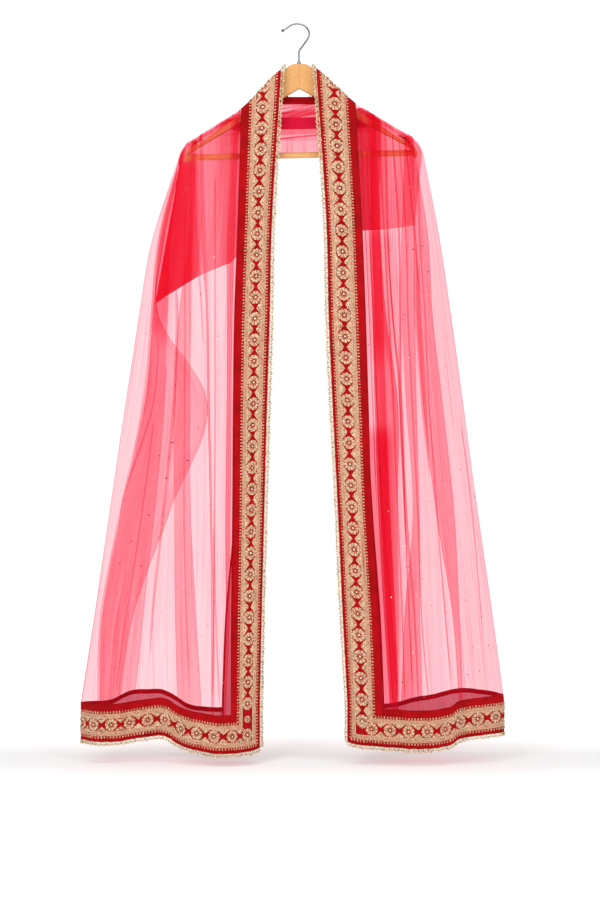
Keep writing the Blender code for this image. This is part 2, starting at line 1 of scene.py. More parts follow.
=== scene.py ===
"""Looks of a dupatta stole hung in half over a wooden hanger.

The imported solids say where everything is. Here their cloth is made again at full fineness: see-through net
with its gathers, embroidered velvet tape, gold lace and sequins, a grained wooden hanger and a polished hook.

Frame: metres, +Z up, +X to the viewer's right, +Y away from the viewer, origin inside the crown of the hook.

Places on the cloth are given by s, the distance from the seam of the front lace, measured round the panel to
the back lace, and q, the distance up from the seam of the hem's lace.
"""

import math

import bpy
import numpy as np
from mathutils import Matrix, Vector


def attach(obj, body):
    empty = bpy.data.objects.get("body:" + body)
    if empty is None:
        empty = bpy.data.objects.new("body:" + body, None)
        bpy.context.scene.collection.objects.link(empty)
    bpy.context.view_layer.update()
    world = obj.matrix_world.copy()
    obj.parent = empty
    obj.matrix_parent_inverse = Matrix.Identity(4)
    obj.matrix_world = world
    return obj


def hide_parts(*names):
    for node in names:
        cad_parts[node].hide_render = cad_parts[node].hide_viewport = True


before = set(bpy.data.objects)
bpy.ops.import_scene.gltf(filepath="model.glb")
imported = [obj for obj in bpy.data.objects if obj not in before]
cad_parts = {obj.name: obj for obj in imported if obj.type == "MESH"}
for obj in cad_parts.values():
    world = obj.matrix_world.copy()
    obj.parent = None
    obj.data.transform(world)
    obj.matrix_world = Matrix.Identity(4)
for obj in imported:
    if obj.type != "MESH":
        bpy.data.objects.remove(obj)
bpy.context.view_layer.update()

# ---- Sizes of the cloth, as in the solids ----

LACE_WIDTH = 0.008
TAPE_WIDTH = 0.0685
VELVET_WALL = 0.0012
FRONT_STANDOFF = 0.018
BACK_STANDOFF = 0.009
STANDOFFS = {"front": FRONT_STANDOFF, "back": BACK_STANDOFF, "fold": (FRONT_STANDOFF + BACK_STANDOFF) / 2}
RIDGE_DROP = 0.012
UNDER_LAYER = 0.0028
PLEAT_STEP = 0.0030
PLEAT_BEND = 0.0012
PLEAT_LEAD = 0.004
FOLD_BEND = 0.0016           # reach of the bend at the outer fold
FALL_CURVE = 1.2             # how late a panel leans out on its way down
LONG_WAVE = (145.0, 0.0016)  # waves across a panel: radians per metre and height
SHORT_WAVE = (330.0, 0.0009)
FADE_IN = 0.05               # height over which a narrow gather closes up
FADE_OUT = 0.10              # and opens again
HEM_PLEATS = 0.25            # share of a pleat's depth that is left on the hem's tape
HANGER_X = 0.0027

# Heights of the table columns below, under each thread's own start on the ridge.
LEVELS = (-0.4105, -0.5196, -0.6833, -0.8833, -1.0833, -1.2287)


def metres(table):
    """A table of millimetres in metres. Names in it stay as they are."""
    if isinstance(table, dict):
        return {name: metres(rows) for name, rows in table.items()}
    if isinstance(table, (list, tuple)):
        return type(table)(metres(item) for item in table)
    return table if isinstance(table, str) else table / 1000


# The next three kinds of table are in millimetres. Threads at the edges of each panel: X on the ridge and at
# each level.
EDGES_LEFT = metres({
    "lace_edge": (-21, -40, -42, -47, -53, -59, -62),
    "lace_seam": (-29, -48, -50, -55, -60, -65, -68),
    "tape_middle": (-66, -77, -80, -83, -86, -90, -93),
    "net_edge": (-102, -110, -114, -116, -117, -119, -119),
    "outer_fold": (-217, -268, -286, -311, -341, -370, -393),
    "back_net_edge": (-99, -108, -110, -112, -115, -132, -138),
    "back_middle": (-68, -80, -83, -87, -91, -103, -108),
    "back_lace_seam": (-35, -54, -56, -61, -67, -74, -78),
    "back_lace_edge": (-27, -46, -48, -53, -59, -66, -70),
})
EDGES_RIGHT = metres({
    "lace_edge": (25, 46, 48, 55, 65, 75, 84),
    "lace_seam": (33, 54, 56, 63, 73, 82, 90),
    "tape_middle": (70, 85, 88, 94, 102, 113, 120),
    "net_edge": (105, 119, 123, 128, 134, 147, 152),
    "outer_fold": (228, 261, 277, 300, 327, 356, 375),
    "back_net_edge": (101, 117, 121, 127, 137, 152, 158),
    "back_middle": (70, 88, 91, 98, 110, 126, 136),
    "back_lace_seam": (39, 60, 62, 69, 79, 91, 101),
    "back_lace_edge": (31, 52, 54, 61, 71, 83, 93),
})

# Wide pleats, in the order the row meets them: X of the first crease it comes to, then of the one it turns
# back to, on the ridge and at each level. Between the two the layer lies three deep.
PLEATS_LEFT = metres({
    "front": [
        ("border", (-118, -127, -127, -127, -129, -128, -131), (-106, -114, -117, -119, -120, -122, -127)),
        ("side", (-176, -172, -165, -162, -157, -154, -154), (-172, -166, -161, -158, -153, -149, -149)),
    ],
    "back": [
        ("outer", (-203, -245, -255, -165, -232, -303, -326), (-212, -252, -262, -277, -319, -357, -362)),
        ("middle", (-184, -191, -193, -195, -194, -184, -176), (-192, -200, -215, -225, -225, -224, -221)),
    ],
})
PLEATS_RIGHT = metres({
    "front": [
        ("gathered", (139, 150, 154, 158, 166, 176, 181), (126, 135, 138, 142, 149, 160, 170)),
        ("outer", (207, 238, 243, 261, 282, 292, 298), (200, 214, 215, 226, 249, 280, 290)),
    ],
    "back": [
        ("middle", (196, 188, 189, 197, 210, 195, 190), (210, 214, 214, 217, 223, 225, 230)),
        ("gathered", (136, 132, 136, 140, 147, 158, 168), (150, 152, 160, 183, 183, 186, 185)),
    ],
})

# Narrow gathers: layer, width, the heights between which it shows, and X on the ridge and at each level.
GATHERS_LEFT = metres([
    ("front", 3, -900, -1300, (-138, -141, -143, -147, -150, -145.5, -139)),
    ("front", 3, -200, -620, (-190, -181, -173, -169, -168, -168, -168)),
    ("front", 3, -300, -1250, (-197, -204, -203, -203, -204, -199, -192)),
    ("front", 4, -460, -1180, (-208, -224, -219, -224, -242, -263, -270)),
    ("front", 2.2, -700, -1280, (-212, -240, -246, -256, -280, -310, -330)),
    ("back", 3, -550, -950, (-211, -250, -252, -262, -322, -330, -340)),
    ("back", 2.4, -600, -1300, (-205, -232, -236, -243, -262, -285, -300)),
    ("back", 2.4, -250, -1300, (-150, -150, -150, -150, -151, -153, -155)),
])
GATHERS_RIGHT = metres([
    ("front", 2.2, -140, -900, (112, 124, 129, 135, 143, 155, 160)),
    ("front", 2.6, -150, -1300, (146, 158, 164, 172, 180, 188, 192)),
    ("front", 2.6, -160, -1000, (158, 163, 171, 184, 192, 200, 206)),
    ("front", 3.4, -180, -1300, (170, 184, 185, 186, 195, 210, 216)),
    ("front", 2.4, -180, -1300, (182, 197, 199, 206, 216, 223, 235)),
    ("front", 3, -190, -550, (194, 214, 222, 232, 240, 250, 260)),
    ("front", 2.2, -700, -1150, (222, 256, 270, 290, 315, 332, 345)),
    ("back", 2.6, -250, -1300, (216, 224, 232, 240, 255, 272, 285)),
    ("back", 2.6, -200, -1300, (160, 166, 172, 190, 196, 205, 212)),
    ("back", 2.6, -200, -1300, (124, 132, 137, 144, 155, 172, 182)),
])

# The lowest edge of the lace along the hem: X, depth Y and height Z, front layer then back layer.
HEM_LEFT = {
    "front": [
        (-0.391, -0.008, -1.3075), (-0.363, -0.036, -1.3070), (-0.326, -0.035, -1.3070),
        (-0.292, -0.025, -1.3030), (-0.270, -0.022, -1.3002), (-0.235, -0.028, -1.2996),
        (-0.215, -0.038, -1.3110), (-0.194, -0.050, -1.3169), (-0.177, -0.058, -1.3198),
        (-0.140, -0.070, -1.3236), (-0.098, -0.062, -1.3220), (-0.075, -0.048, -1.3195),
        (-0.062, -0.030, -1.3144),
    ],
    "back": [
        (-0.391, -0.008, -1.3075), (-0.375, 0.012, -1.3085), (-0.341, 0.032, -1.3080),
        (-0.312, 0.045, -1.2945), (-0.277, 0.048, -1.2912), (-0.250, 0.048, -1.2922),
        (-0.228, 0.038, -1.3000), (-0.205, 0.024, -1.3130), (-0.170, 0.012, -1.3190),
        (-0.138, 0.006, -1.3190), (-0.070, -0.008, -1.3160),
    ],
}
HEM_RIGHT = {
    "front": [
        (0.084, -0.032, -1.3064), (0.100, -0.046, -1.3090), (0.152, -0.056, -1.3130),
        (0.186, -0.060, -1.3150), (0.225, -0.062, -1.3160), (0.259, -0.058, -1.3130),
        (0.278, -0.050, -1.3090), (0.288, -0.043, -1.3020), (0.303, -0.035, -1.3000),
        (0.335, -0.030, -1.2960), (0.360, -0.024, -1.2940), (0.375, -0.004, -1.2938),
    ],
    "back": [
        (0.093, -0.006, -1.3100), (0.140, 0.008, -1.3125), (0.179, 0.022, -1.3130),
        (0.205, 0.034, -1.3070), (0.255, 0.042, -1.2988), (0.297, 0.042, -1.2890),
        (0.339, 0.030, -1.2900), (0.360, 0.016, -1.2920), (0.375, -0.004, -1.2938),
    ],
}

# The shoulder ridge: X and height Z.
RIDGE_LEFT = [
    (-0.217, -0.2490), (-0.212, -0.2309), (-0.202, -0.2158), (-0.176, -0.2007), (-0.141, -0.1782),
    (-0.108, -0.1585), (-0.081, -0.1344), (-0.051, -0.1013), (-0.030, -0.0816), (-0.021, -0.0725),
]
RIDGE_RIGHT = [
    (0.025, -0.0733), (0.032, -0.0778), (0.050, -0.0938), (0.072, -0.1149), (0.089, -0.1300),
    (0.107, -0.1449), (0.125, -0.1556), (0.155, -0.1736), (0.185, -0.1918), (0.208, -0.2038),
    (0.220, -0.2158), (0.228, -0.2324),
]

# The neck stretch of the net, from tip to tip: top X, degrees turned over the arm where it starts, top Z
# (None: read from the ridge), bottom X and Z.
NECK_COLUMNS = [
    (-0.2165,  0, None,    -0.260, -0.507),
    (-0.2120,  0, None,    -0.250, -0.500),
    (-0.2040,  0, None,    -0.239, -0.492),
    (-0.1950,  0, None,    -0.227, -0.485),
    (-0.1760,  0, None,    -0.203, -0.470),
    (-0.1580,  0, None,    -0.182, -0.457),
    (-0.1410,  0, None,    -0.160, -0.447),
    (-0.1250,  0, None,    -0.138, -0.438),
    (-0.1150,  0, None,    -0.122, -0.432),
    (-0.1050, 50, None,    -0.107, -0.416),
    (-0.1025, 90, -0.1715, -0.102, -0.405),
    (-0.0700, 90, -0.1640, -0.070, -0.330),
    (-0.0350, 90, -0.1530, -0.036, -0.2385),
    (0.0030,  90, -0.1450,  0.003, -0.2365),
    (0.0400,  90, -0.1500,  0.040, -0.2370),
    (0.0720,  90, -0.1570,  0.078, -0.310),
    (0.1055,  90, -0.1610,  0.108, -0.365),
    (0.1082,  50, None,     0.113, -0.372),
    (0.1180,   0, None,     0.122, -0.373),
    (0.1320,   0, None,     0.137, -0.372),
    (0.1550,   0, None,     0.160, -0.371),
    (0.1800,   0, None,     0.183, -0.368),
    (0.2060,   0, None,     0.203, -0.365),
    (0.2190,   0, None,     0.209, -0.364),
    (0.2265,   0, None,     0.214, -0.363),
]
NECK_REAR_Y = 0.0165
NECK_TUCK = 0.012            # height of net that goes up behind the velvet
NECK_INNER_Y = 0.0105
NECK_CREASE = 0.0012         # depth of the creases behind the neck
FLAP_RIPPLE = 0.0007         # and of the ripples on the flaps

# The border behind the neck, from its net side to its lace edge: share of the width, Y and Z in the middle.
NECK_TAPE_SECTION = [
    (0.00, 0.0115, -0.1425), (0.30, 0.0120, -0.1360), (0.55, 0.0138, -0.1310),
    (0.75, 0.0165, -0.1288), (0.895, 0.0195, -0.1298), (1.00, 0.0225, -0.1330),
]
NECK_TAPE_STANDOFF = 0.0135

# The tape's design, in distances from the lace seam.
DOTS_OUTER = 0.0080          # middle of the outer row of stitches
BAND_OUTER = (0.0105, 0.0185)
CENTRE = 0.0305
BAND_INNER = (0.0425, 0.0505)
DOTS_INNER = 0.0530
DOT_PITCH = 0.0056
ROSETTE_PITCH = 0.0384
HEM_ROSETTE_PITCH = 0.0345
ROSETTE_RADIUS = 0.0118
LACE_PITCH = 0.0090
HATCH_PITCH = 0.0036
ROPE_PITCH = 0.0038
BAND_HEIGHT = 0.0006
SIDE_TURN = 0.0035           # width of velvet turned over to the wrong side along a long border's net edge
HEM_TURN = 0.0080            # and along the hem's

NET_STEP = 0.008             # greatest distance between columns of net
ROW_COUNT = 110              # rows of net below the shoulder
TAPE_ROWS = 8                # rows across the hem's tape
TURN_STEP = 15               # degrees between rows over the shoulder
SHEET_STEP = 0.004           # grid on which motifs are placed
NECK_ROWS = 80               # rows in each layer of the neck's net
NECK_STEP = 0.006            # greatest distance between its columns
SEQUIN_COUNT = 260           # on each panel
NET_COVER = 0.095            # share of light that one layer stops
NET_COVER_MOST = 0.75

rng = np.random.default_rng(7)


# ---- Small helpers ----

def blend(a, b, share):
    return a + (b - a) * share


def smooth(share):
    share = np.clip(share, 0.0, 1.0)
    return share * share * (3.0 - 2.0 * share)


def soft_read(keys, values, wanted):
    """Read a table on a smooth curve through its rows, held at its ends."""
    keys = np.asarray(keys, dtype=float)
    values = np.asarray(values, dtype=float)
    slopes = np.gradient(values, keys)
    place = np.clip(np.searchsorted(keys, wanted) - 1, 0, len(keys) - 2)
    span = keys[place + 1] - keys[place]
    t = np.clip((wanted - keys[place]) / span, 0.0, 1.0)
    rise = (2 * t ** 3 - 3 * t ** 2 + 1) * values[place] + (3 * t ** 2 - 2 * t ** 3) * values[place + 1]
    lean = (t ** 3 - 2 * t ** 2 + t) * slopes[place] + (t ** 3 - t ** 2) * slopes[place + 1]
    return rise + lean * span


def unit(vectors):
    length = np.linalg.norm(vectors, axis=-1, keepdims=True)
    return vectors / np.maximum(length, 1e-9)


def grid_normals(points):
    along = np.gradient(points, axis=1)
    down = np.gradient(points, axis=0)
    return unit(np.cross(along, down))


def new_piece(name, vertices, faces, finishes, replaced=(), uvs=None, face_finish=None,
              flat_from=None):
    """A mesh piece that rides with the cloth. Faces from the one numbered flat_from on are flat."""
    mesh = bpy.data.meshes.new(name)
    mesh.from_pydata(np.asarray(vertices).tolist(), [], faces)
    for finish in finishes:
        mesh.materials.append(finish)
    if face_finish is not None:
        mesh.polygons.foreach_set("material_index", np.asarray(face_finish, dtype=np.int32))
    if uvs is not None:
        layer = mesh.uv_layers.new(name="cloth")
        corner = np.empty(len(mesh.loops), dtype=np.int32)
        mesh.loops.foreach_get("vertex_index", corner)
        layer.data.foreach_set("uv", np.asarray(uvs, dtype=np.float32)[corner].ravel())
    mesh.shade_smooth()
    if flat_from is not None:
        flags = np.arange(len(mesh.polygons)) < flat_from
        mesh.polygons.foreach_set("use_smooth", flags)
    mesh.update()
    made = bpy.data.objects.new(name, mesh)
    bpy.context.scene.collection.objects.link(made)
    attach(made, "root")
    if replaced:
        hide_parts(*replaced)
    return made


def grid_faces(rows, columns, offset=0, flip=False):
    faces = []
    for r in range(rows - 1):
        for c in range(columns - 1):
            a = offset + r * columns + c
            quad = (a, a + columns, a + columns + 1, a + 1)
            faces.append(quad[::-1] if flip else quad)
    return faces


def set_attribute(piece, name, values):
    layer = piece.data.attributes.new(name, "FLOAT", "POINT")
    layer.data.foreach_set("value", np.asarray(values, dtype=np.float32).ravel())


# ---- Materials ----

NOISE = "ShaderNodeTexNoise"
CELLS = "ShaderNodeTexVoronoi"


def new_material(name):
    made = bpy.data.materials.new(name)
    made.use_nodes = True
    tree = made.node_tree
    return made, tree, tree.nodes["Principled BSDF"]


def node(tree, kind, **values):
    made = tree.nodes.new(kind)
    for key, value in values.items():
        if key in made.inputs:
            made.inputs[key].default_value = value
        else:
            setattr(made, key, value)
    return made


def settle(made, values):
    for key, value in values.items():
        made.inputs[key].default_value = value


def object_place(tree):
    return node(tree, "ShaderNodeTexCoord").outputs["Object"]


def placed(tree, kind, place, **values):
    """A node that reads its place on the object from this socket."""
    made = node(tree, kind, **values)
    tree.links.new(place, made.inputs["Vector"])
    return made


def ramp(tree, source, stops):
    made = tree.nodes.new("ShaderNodeValToRGB")
    elements = made.color_ramp.elements
    while len(elements) < len(stops):
        elements.new(0.5)
    for element, (place, colour) in zip(elements, stops):
        element.position = place
        element.color = (*colour, 1.0)
    tree.links.new(source, made.inputs["Fac"])
    return made.outputs["Color"]


def dye(tree, shader, source, stops):
    tree.links.new(ramp(tree, source, stops), shader.inputs["Base Color"])


def bump(tree, shader, height, strength, distance):
    made = node(tree, "ShaderNodeBump", Strength=strength, Distance=distance)
    tree.links.new(height, made.inputs["Height"])
    tree.links.new(made.outputs["Normal"], shader.inputs["Normal"])


def math_node(tree, operation, first, second):
    made = node(tree, "ShaderNodeMath", operation=operation)
    for socket, value in zip(made.inputs, (first, second)):
        if isinstance(value, (int, float)):
            socket.default_value = value
        else:
            tree.links.new(value, socket)
    return made.outputs["Value"]


def stretched_noise(tree, place, scale, detail):
    """Noise drawn out along the threads."""
    stretch = placed(tree, "ShaderNodeMapping", place, Scale=scale)
    noise = placed(tree, NOISE, stretch.outputs["Vector"], Scale=1.0, Detail=detail, Roughness=0.6)
    return noise.outputs["Fac"]


def net_layers(tree, place, density):
    """How many layers of net seem to lie at a place. The density is how strongly one layer tints, and the
    attribute "gather" adds the layers of the finest gathers."""
    soft = stretched_noise(tree, place, (90.0, 2.5, 1.0), 4.0)
    fine = stretched_noise(tree, place, (330.0, 2.0, 1.0), 2.0)
    creases = node(tree, "ShaderNodeMapRange")
    settle(creases, {"From Min": 0.62, "From Max": 0.72})
    tree.links.new(fine, creases.inputs["Value"])
    gather = node(tree, "ShaderNodeAttribute", attribute_name="gather")
    layers = math_node(tree, "ADD", math_node(tree, "MULTIPLY", soft, 1.5), 0.22)
    layers = math_node(tree, "MULTIPLY", layers, density)
    layers = math_node(tree, "ADD", layers, creases.outputs["Result"])
    return math_node(tree, "ADD", layers, gather.outputs["Fac"])


def net_tint(tree, place, layers):
    """The tint of one layer, deeper on its threads than in its holes, once for each layer."""
    holes = placed(tree, CELLS, place, feature="DISTANCE_TO_EDGE", Scale=520.0, Randomness=0.25)
    tint = ramp(tree, holes.outputs["Distance"],
                [(0.0, (0.985, 0.50, 0.57)), (0.14, (0.995, 0.70, 0.75)), (0.30, (1.0, 0.81, 0.84))])
    one_layer = node(tree, "ShaderNodeSeparateColor")
    tree.links.new(tint, one_layer.inputs["Color"])
    all_layers = node(tree, "ShaderNodeCombineColor")
    for channel in ("Red", "Green", "Blue"):
        raised = math_node(tree, "POWER", one_layer.outputs[channel], layers)
        tree.links.new(raised, all_layers.inputs[channel])
    return all_layers.outputs["Color"]


def net_material(name, density):
    """Net that lets light through: each layer tints what is behind it, so folds show darker."""
    made, tree, cloth = new_material(name)
    place = node(tree, "ShaderNodeUVMap", uv_map="cloth").outputs["UV"]
    layers = net_layers(tree, place, density)
    clear = node(tree, "ShaderNodeBsdfTransparent")
    tree.links.new(net_tint(tree, place, layers), clear.inputs["Color"])
    settle(cloth, {"Base Color": (0.86, 0.002, 0.055, 1.0), "Roughness": 0.6, "Specular IOR Level": 0.2})
    cover = math_node(tree, "MINIMUM", math_node(tree, "MULTIPLY", layers, NET_COVER), NET_COVER_MOST)
    mix = node(tree, "ShaderNodeMixShader")
    tree.links.new(cover, mix.inputs["Fac"])
    tree.links.new(clear.outputs["BSDF"], mix.inputs[1])
    tree.links.new(cloth.outputs["BSDF"], mix.inputs[2])
    tree.links.new(mix.outputs["Shader"], tree.nodes["Material Output"].inputs["Surface"])
    return made


def velvet_material():
    made, tree, shader = new_material("red_velvet")
    place = object_place(tree)
    pile = placed(tree, NOISE, place, Scale=900.0, Detail=2.0)
    brushed = placed(tree, NOISE, place, Scale=28.0, Detail=4.0, Roughness=0.6)
    dye(tree, shader, brushed.outputs["Fac"],
        [(0.25, (0.30, 0.0004, 0.002)), (0.55, (0.44, 0.0008, 0.004)), (0.8, (0.54, 0.002, 0.008))])
    settle(shader, {"Roughness": 0.9, "Specular IOR Level": 0.15, "Sheen Weight": 0.06,
                    "Sheen Tint": (0.9, 0.03, 0.03, 1.0)})
    bump(tree, shader, pile.outputs["Fac"], 0.35, 0.0006)
    return made


def lining_material():
    made, tree, shader = new_material("pink_lining")
    weave = placed(tree, NOISE, object_place(tree), Scale=420.0, Detail=3.0)
    dye(tree, shader, weave.outputs["Fac"], [(0.3, (0.78, 0.27, 0.34)), (0.7, (0.88, 0.38, 0.46))])
    settle(shader, {"Roughness": 0.8})
    bump(tree, shader, weave.outputs["Fac"], 0.3, 0.0004)
    return made


def thread_material(name, dark, middle, bright, metallic, roughness, scale):
    """Metallic embroidery thread: its dye runs from dark to bright cell by cell, partly the thread's own
    uneven tone and partly painted glints that stand for light caught unevenly.
    """
    made, tree, shader = new_material(name)
    place = object_place(tree)
    tone_and_glint_cells = placed(tree, CELLS, place, Scale=scale)
    glints = placed(tree, NOISE, place, Scale=scale * 0.6, Detail=2.0)
    cell = node(tree, "ShaderNodeSeparateColor")
    tree.links.new(tone_and_glint_cells.outputs["Color"], cell.inputs["Color"])
    # Painted glints: the bright stop of this dye stands for light caught by the thread; the darker stops are
    # its own tone.
    dye(tree, shader, cell.outputs["Red"], [(0.05, dark), (0.5, middle), (0.95, bright)])
    settle(shader, {"Metallic": metallic, "Roughness": roughness})
    bump(tree, shader, glints.outputs["Fac"], 0.6, 0.0006)
    return made


def wood_material(name, slope):
    """Varnished pale wood, its grain along a line at this slope."""
    made, tree, shader = new_material(name)
    turn = placed(tree, "ShaderNodeMapping", object_place(tree), Rotation=(0.0, slope, 0.0))
    stretch = placed(tree, "ShaderNodeMapping", turn.outputs["Vector"], Scale=(14.0, 90.0, 150.0))
    grain = placed(tree, NOISE, stretch.outputs["Vector"], Scale=1.6, Detail=5.0, Roughness=0.6,
                   Distortion=0.5)
    dye(tree, shader, grain.outputs["Fac"],
        [(0.2, (0.72, 0.32, 0.095)), (0.5, (0.83, 0.41, 0.135)), (0.8, (0.88, 0.47, 0.17))])
    settle(shader, {"Roughness": 0.42, "Coat Weight": 0.2, "Coat Roughness": 0.25})
    bump(tree, shader, grain.outputs["Fac"], 0.12, 0.0008)
    return made


def chrome_material():
    made, tree, shader = new_material("polished_steel")
    drawn = placed(tree, NOISE, object_place(tree), Scale=400.0, Detail=2.0)
    rough = node(tree, "ShaderNodeMapRange")
    settle(rough, {"To Min": 0.10, "To Max": 0.24})
    tree.links.new(drawn.outputs["Fac"], rough.inputs["Value"])
    tree.links.new(rough.outputs["Result"], shader.inputs["Roughness"])
    settle(shader, {"Base Color": (0.24, 0.24, 0.25, 1.0), "Metallic": 1.0})
    return made


def studio_material(name, shade, glow, under):
    """White paper that also glows a little, and glows less just under the cloth: a painted shadow there,
    added to the one the lamps cast.
    """
    made, tree, shader = new_material(name)
    place = object_place(tree)
    mottle = placed(tree, NOISE, place, Scale=2.0)
    dye(tree, shader, mottle.outputs["Fac"], [(0.3, (shade, shade, shade)), (0.7, [shade + 0.01] * 3)])
    parts = placed(tree, "ShaderNodeSeparateXYZ", place)
    # Painted shadow: the glow is weakest near Y = 0, just under the cloth, and full from Y = 0.34 outwards.
    away = math_node(tree, "ABSOLUTE", parts.outputs["Y"], 0.0)
    glow_with_painted_shadow = ramp(tree, away, [(0.06, [under] * 3), (0.34, (1.0, 1.0, 1.0))])
    tree.links.new(glow_with_painted_shadow, shader.inputs["Emission Color"])
    settle(shader, {"Roughness": 0.9, "Specular IOR Level": 0.0, "Emission Strength": glow})
    return made


FINISH = {
    "net": net_material("red_net", 0.60),
    "neck_net": net_material("red_net_doubled", 1.10),
    "velvet": velvet_material(),
    "lining": lining_material(),
    "gold": thread_material("gold_thread", (0.22, 0.05, 0.02), (0.74, 0.37, 0.19), (1.0, 0.84, 0.58),
                            0.30, 0.36, 900.0),
    "gold_ground": thread_material("gold_ground", (0.34, 0.05, 0.03), (0.66, 0.32, 0.18), (0.90, 0.62, 0.40),
                                   0.25, 0.5, 1300.0),
    "stud": thread_material("gold_stud", (0.85, 0.62, 0.36), (0.98, 0.84, 0.60), (1.0, 0.96, 0.84),
                            0.45, 0.22, 500.0),
    "dark_sequin": thread_material("dark_sequin", (0.06, 0.015, 0.012), (0.22, 0.04, 0.03),
                                   (0.55, 0.28, 0.14), 0.5, 0.35, 300.0),
    "lace": thread_material("lace_thread", (0.42, 0.24, 0.10), (0.88, 0.66, 0.38), (1.0, 0.92, 0.72),
                            0.15, 0.40, 500.0),
    "wood_left": wood_material("varnished_wood_left", 0.53),
    "wood_right": wood_material("varnished_wood_right", -0.53),
    "wood": wood_material("varnished_wood", 0.0),
    "chrome": chrome_material(),
}


# ---- Threads of a panel ----

def thread(layer, track, lift=0.0, slide=0.0, closed_slide=0.0, fade=None, name="", crease=0.0):
    return {"name": name, "layer": layer, "track": np.array(track, dtype=float), "lift": lift, "slide": slide,
            "closed_slide": closed_slide, "fade": fade, "crease": crease}


def wide_pleat(layer, first, second, heading):
    """Threads round the two creases of a pleat, three layers deep between them."""
    first, second = np.array(first), np.array(second)
    lead = (np.minimum(first * heading, second * heading) - PLEAT_LEAD) * heading
    bend = PLEAT_BEND * heading
    return [
        thread(layer, lead, 2.0),
        thread(layer, first, 2.0, -bend, -bend),
        thread(layer, first, 1.5, crease=1.0),
        thread(layer, first, 1.0, bend, -bend),
        thread(layer, second, 1.0, -bend, bend),
        thread(layer, second, 0.5, crease=1.0),
        thread(layer, second, 0.0, bend, bend),
    ]


def narrow_gather(layer, width, start, end, track, heading):
    """Threads of a narrow gather, which opens out flat above its start and below its end."""
    bend = min(0.0008, width / 4)
    near = width / 2 - bend
    offsets = [(-(width / 2 + 0.002), 0.8), (near, 0.8), (width / 2, 0.6), (near, 0.4),
               (-near, 0.4), (-width / 2, 0.2), (-near, 0.0)]
    return [thread(layer, track, lift, offset * heading, offset * heading, (start, end),
                   crease=0.7 * (lift in (0.6, 0.2)))
            for offset, lift in offsets]


def fill_between(a, b, step):
    """Extra threads between two, so that no gap is wider than the step."""
    gap = np.abs(a["track"] - b["track"]).max()
    parts = max(1, math.ceil(gap / step))
    layer = b["layer"] if a["layer"] == "fold" else a["layer"]
    shares = [part / parts for part in range(1, parts)]
    return [thread(layer, blend(a["track"], b["track"], share), blend(a["lift"], b["lift"], share))
            for share in shares]


def panel_threads(side, edges, pleats, gathers, step):
    """All threads of a panel, from the front lace round the outer fold to the back lace."""
    known = [thread("front", edges[name], name=name)
             for name in ("lace_edge", "lace_seam", "tape_middle", "net_edge")]
    for layer, heading in (("front", side), ("back", -side)):
        groups = [(first[0], wide_pleat(layer, first, second, heading)) for _, first, second in pleats[layer]]
        groups += [(track[0], narrow_gather(layer, width, start, end, track, heading))
                   for on, width, start, end, track in gathers if on == layer]
        groups.sort(key=lambda group: group[0] * heading)
        for _, group in groups:
            known += group
        if layer == "front":
            inside = np.array(edges["outer_fold"]) - side * FOLD_BEND
            known += [thread("front", inside),
                      thread("fold", edges["outer_fold"], name="outer_fold", crease=0.8),
                      thread("back", inside)]
    known += [thread("back", edges[name], name=name)
              for name in ("back_net_edge", "back_middle", "back_lace_seam", "back_lace_edge")]
    threads = [known[0]]
    for before, after in zip(known, known[1:]):
        threads += fill_between(before, after, step)
        threads.append(after)
    return threads


def pleat_shift(item, heights, closed, net_end):
    """How far a thread slides along its layer and how far it stands out from it, less near the hem."""
    offset = blend(item["slide"], item["closed_slide"], closed)
    lift = item["lift"] * PLEAT_STEP * closed
    if item["fade"]:
        start, end = item["fade"]
        shown = smooth((start - heights) / FADE_IN) * smooth((heights - end) / FADE_OUT)
        offset = item["slide"] * shown
        lift = item["lift"] * PLEAT_STEP * shown * 0.5
    steady = blend(HEM_PLEATS, 1.0, smooth((heights - net_end) / 0.05))
    return offset * steady, lift * steady


def thread_line(item, ridge, hems):
    """The points of one thread, from the ridge to the hem."""
    track, layer = item["track"], item["layer"]
    hem = np.array(hems["back" if layer == "back" else "front"])
    top = float(np.interp(track[0], *np.array(ridge).T))
    if layer == "back":
        top -= UNDER_LAYER
    standoff = STANDOFFS[layer]
    hem_y = float(soft_read(hem[:, 0], hem[:, 1], track[-1]))
    bottom = float(soft_read(hem[:, 0], hem[:, 2], track[-1]))
    turns = np.radians(np.arange(0, 90, TURN_STEP))
    hang = top - RIDGE_DROP
    net_end = bottom + LACE_WIDTH + TAPE_WIDTH
    heights = np.concatenate([
        top - RIDGE_DROP * (1.0 - np.cos(turns)),
        np.linspace(hang, net_end, ROW_COUNT + 1),
        np.linspace(net_end, bottom + LACE_WIDTH, TAPE_ROWS + 1)[1:],
        [bottom],
    ])
    turned = np.concatenate([np.sin(turns), np.ones(len(heights) - len(turns))])
    fallen = (top - heights) / (top - bottom)
    closed = smooth((top - heights) / (top - LEVELS[0]))
    keys = np.array([*LEVELS[::-1], top])
    x = soft_read(keys, track[::-1], heights)
    offset, lift = pleat_shift(item, heights, closed, net_end)
    wave = (np.sin(x * LONG_WAVE[0] + 0.8) * LONG_WAVE[1]
            + np.sin(x * SHORT_WAVE[0] + heights * 3.0) * SHORT_WAVE[1])
    y = blend(-standoff, hem_y, fallen ** FALL_CURVE) * turned - lift + wave * smooth(fallen * 1.6)
    return np.stack([x + offset, y, heights], axis=1)


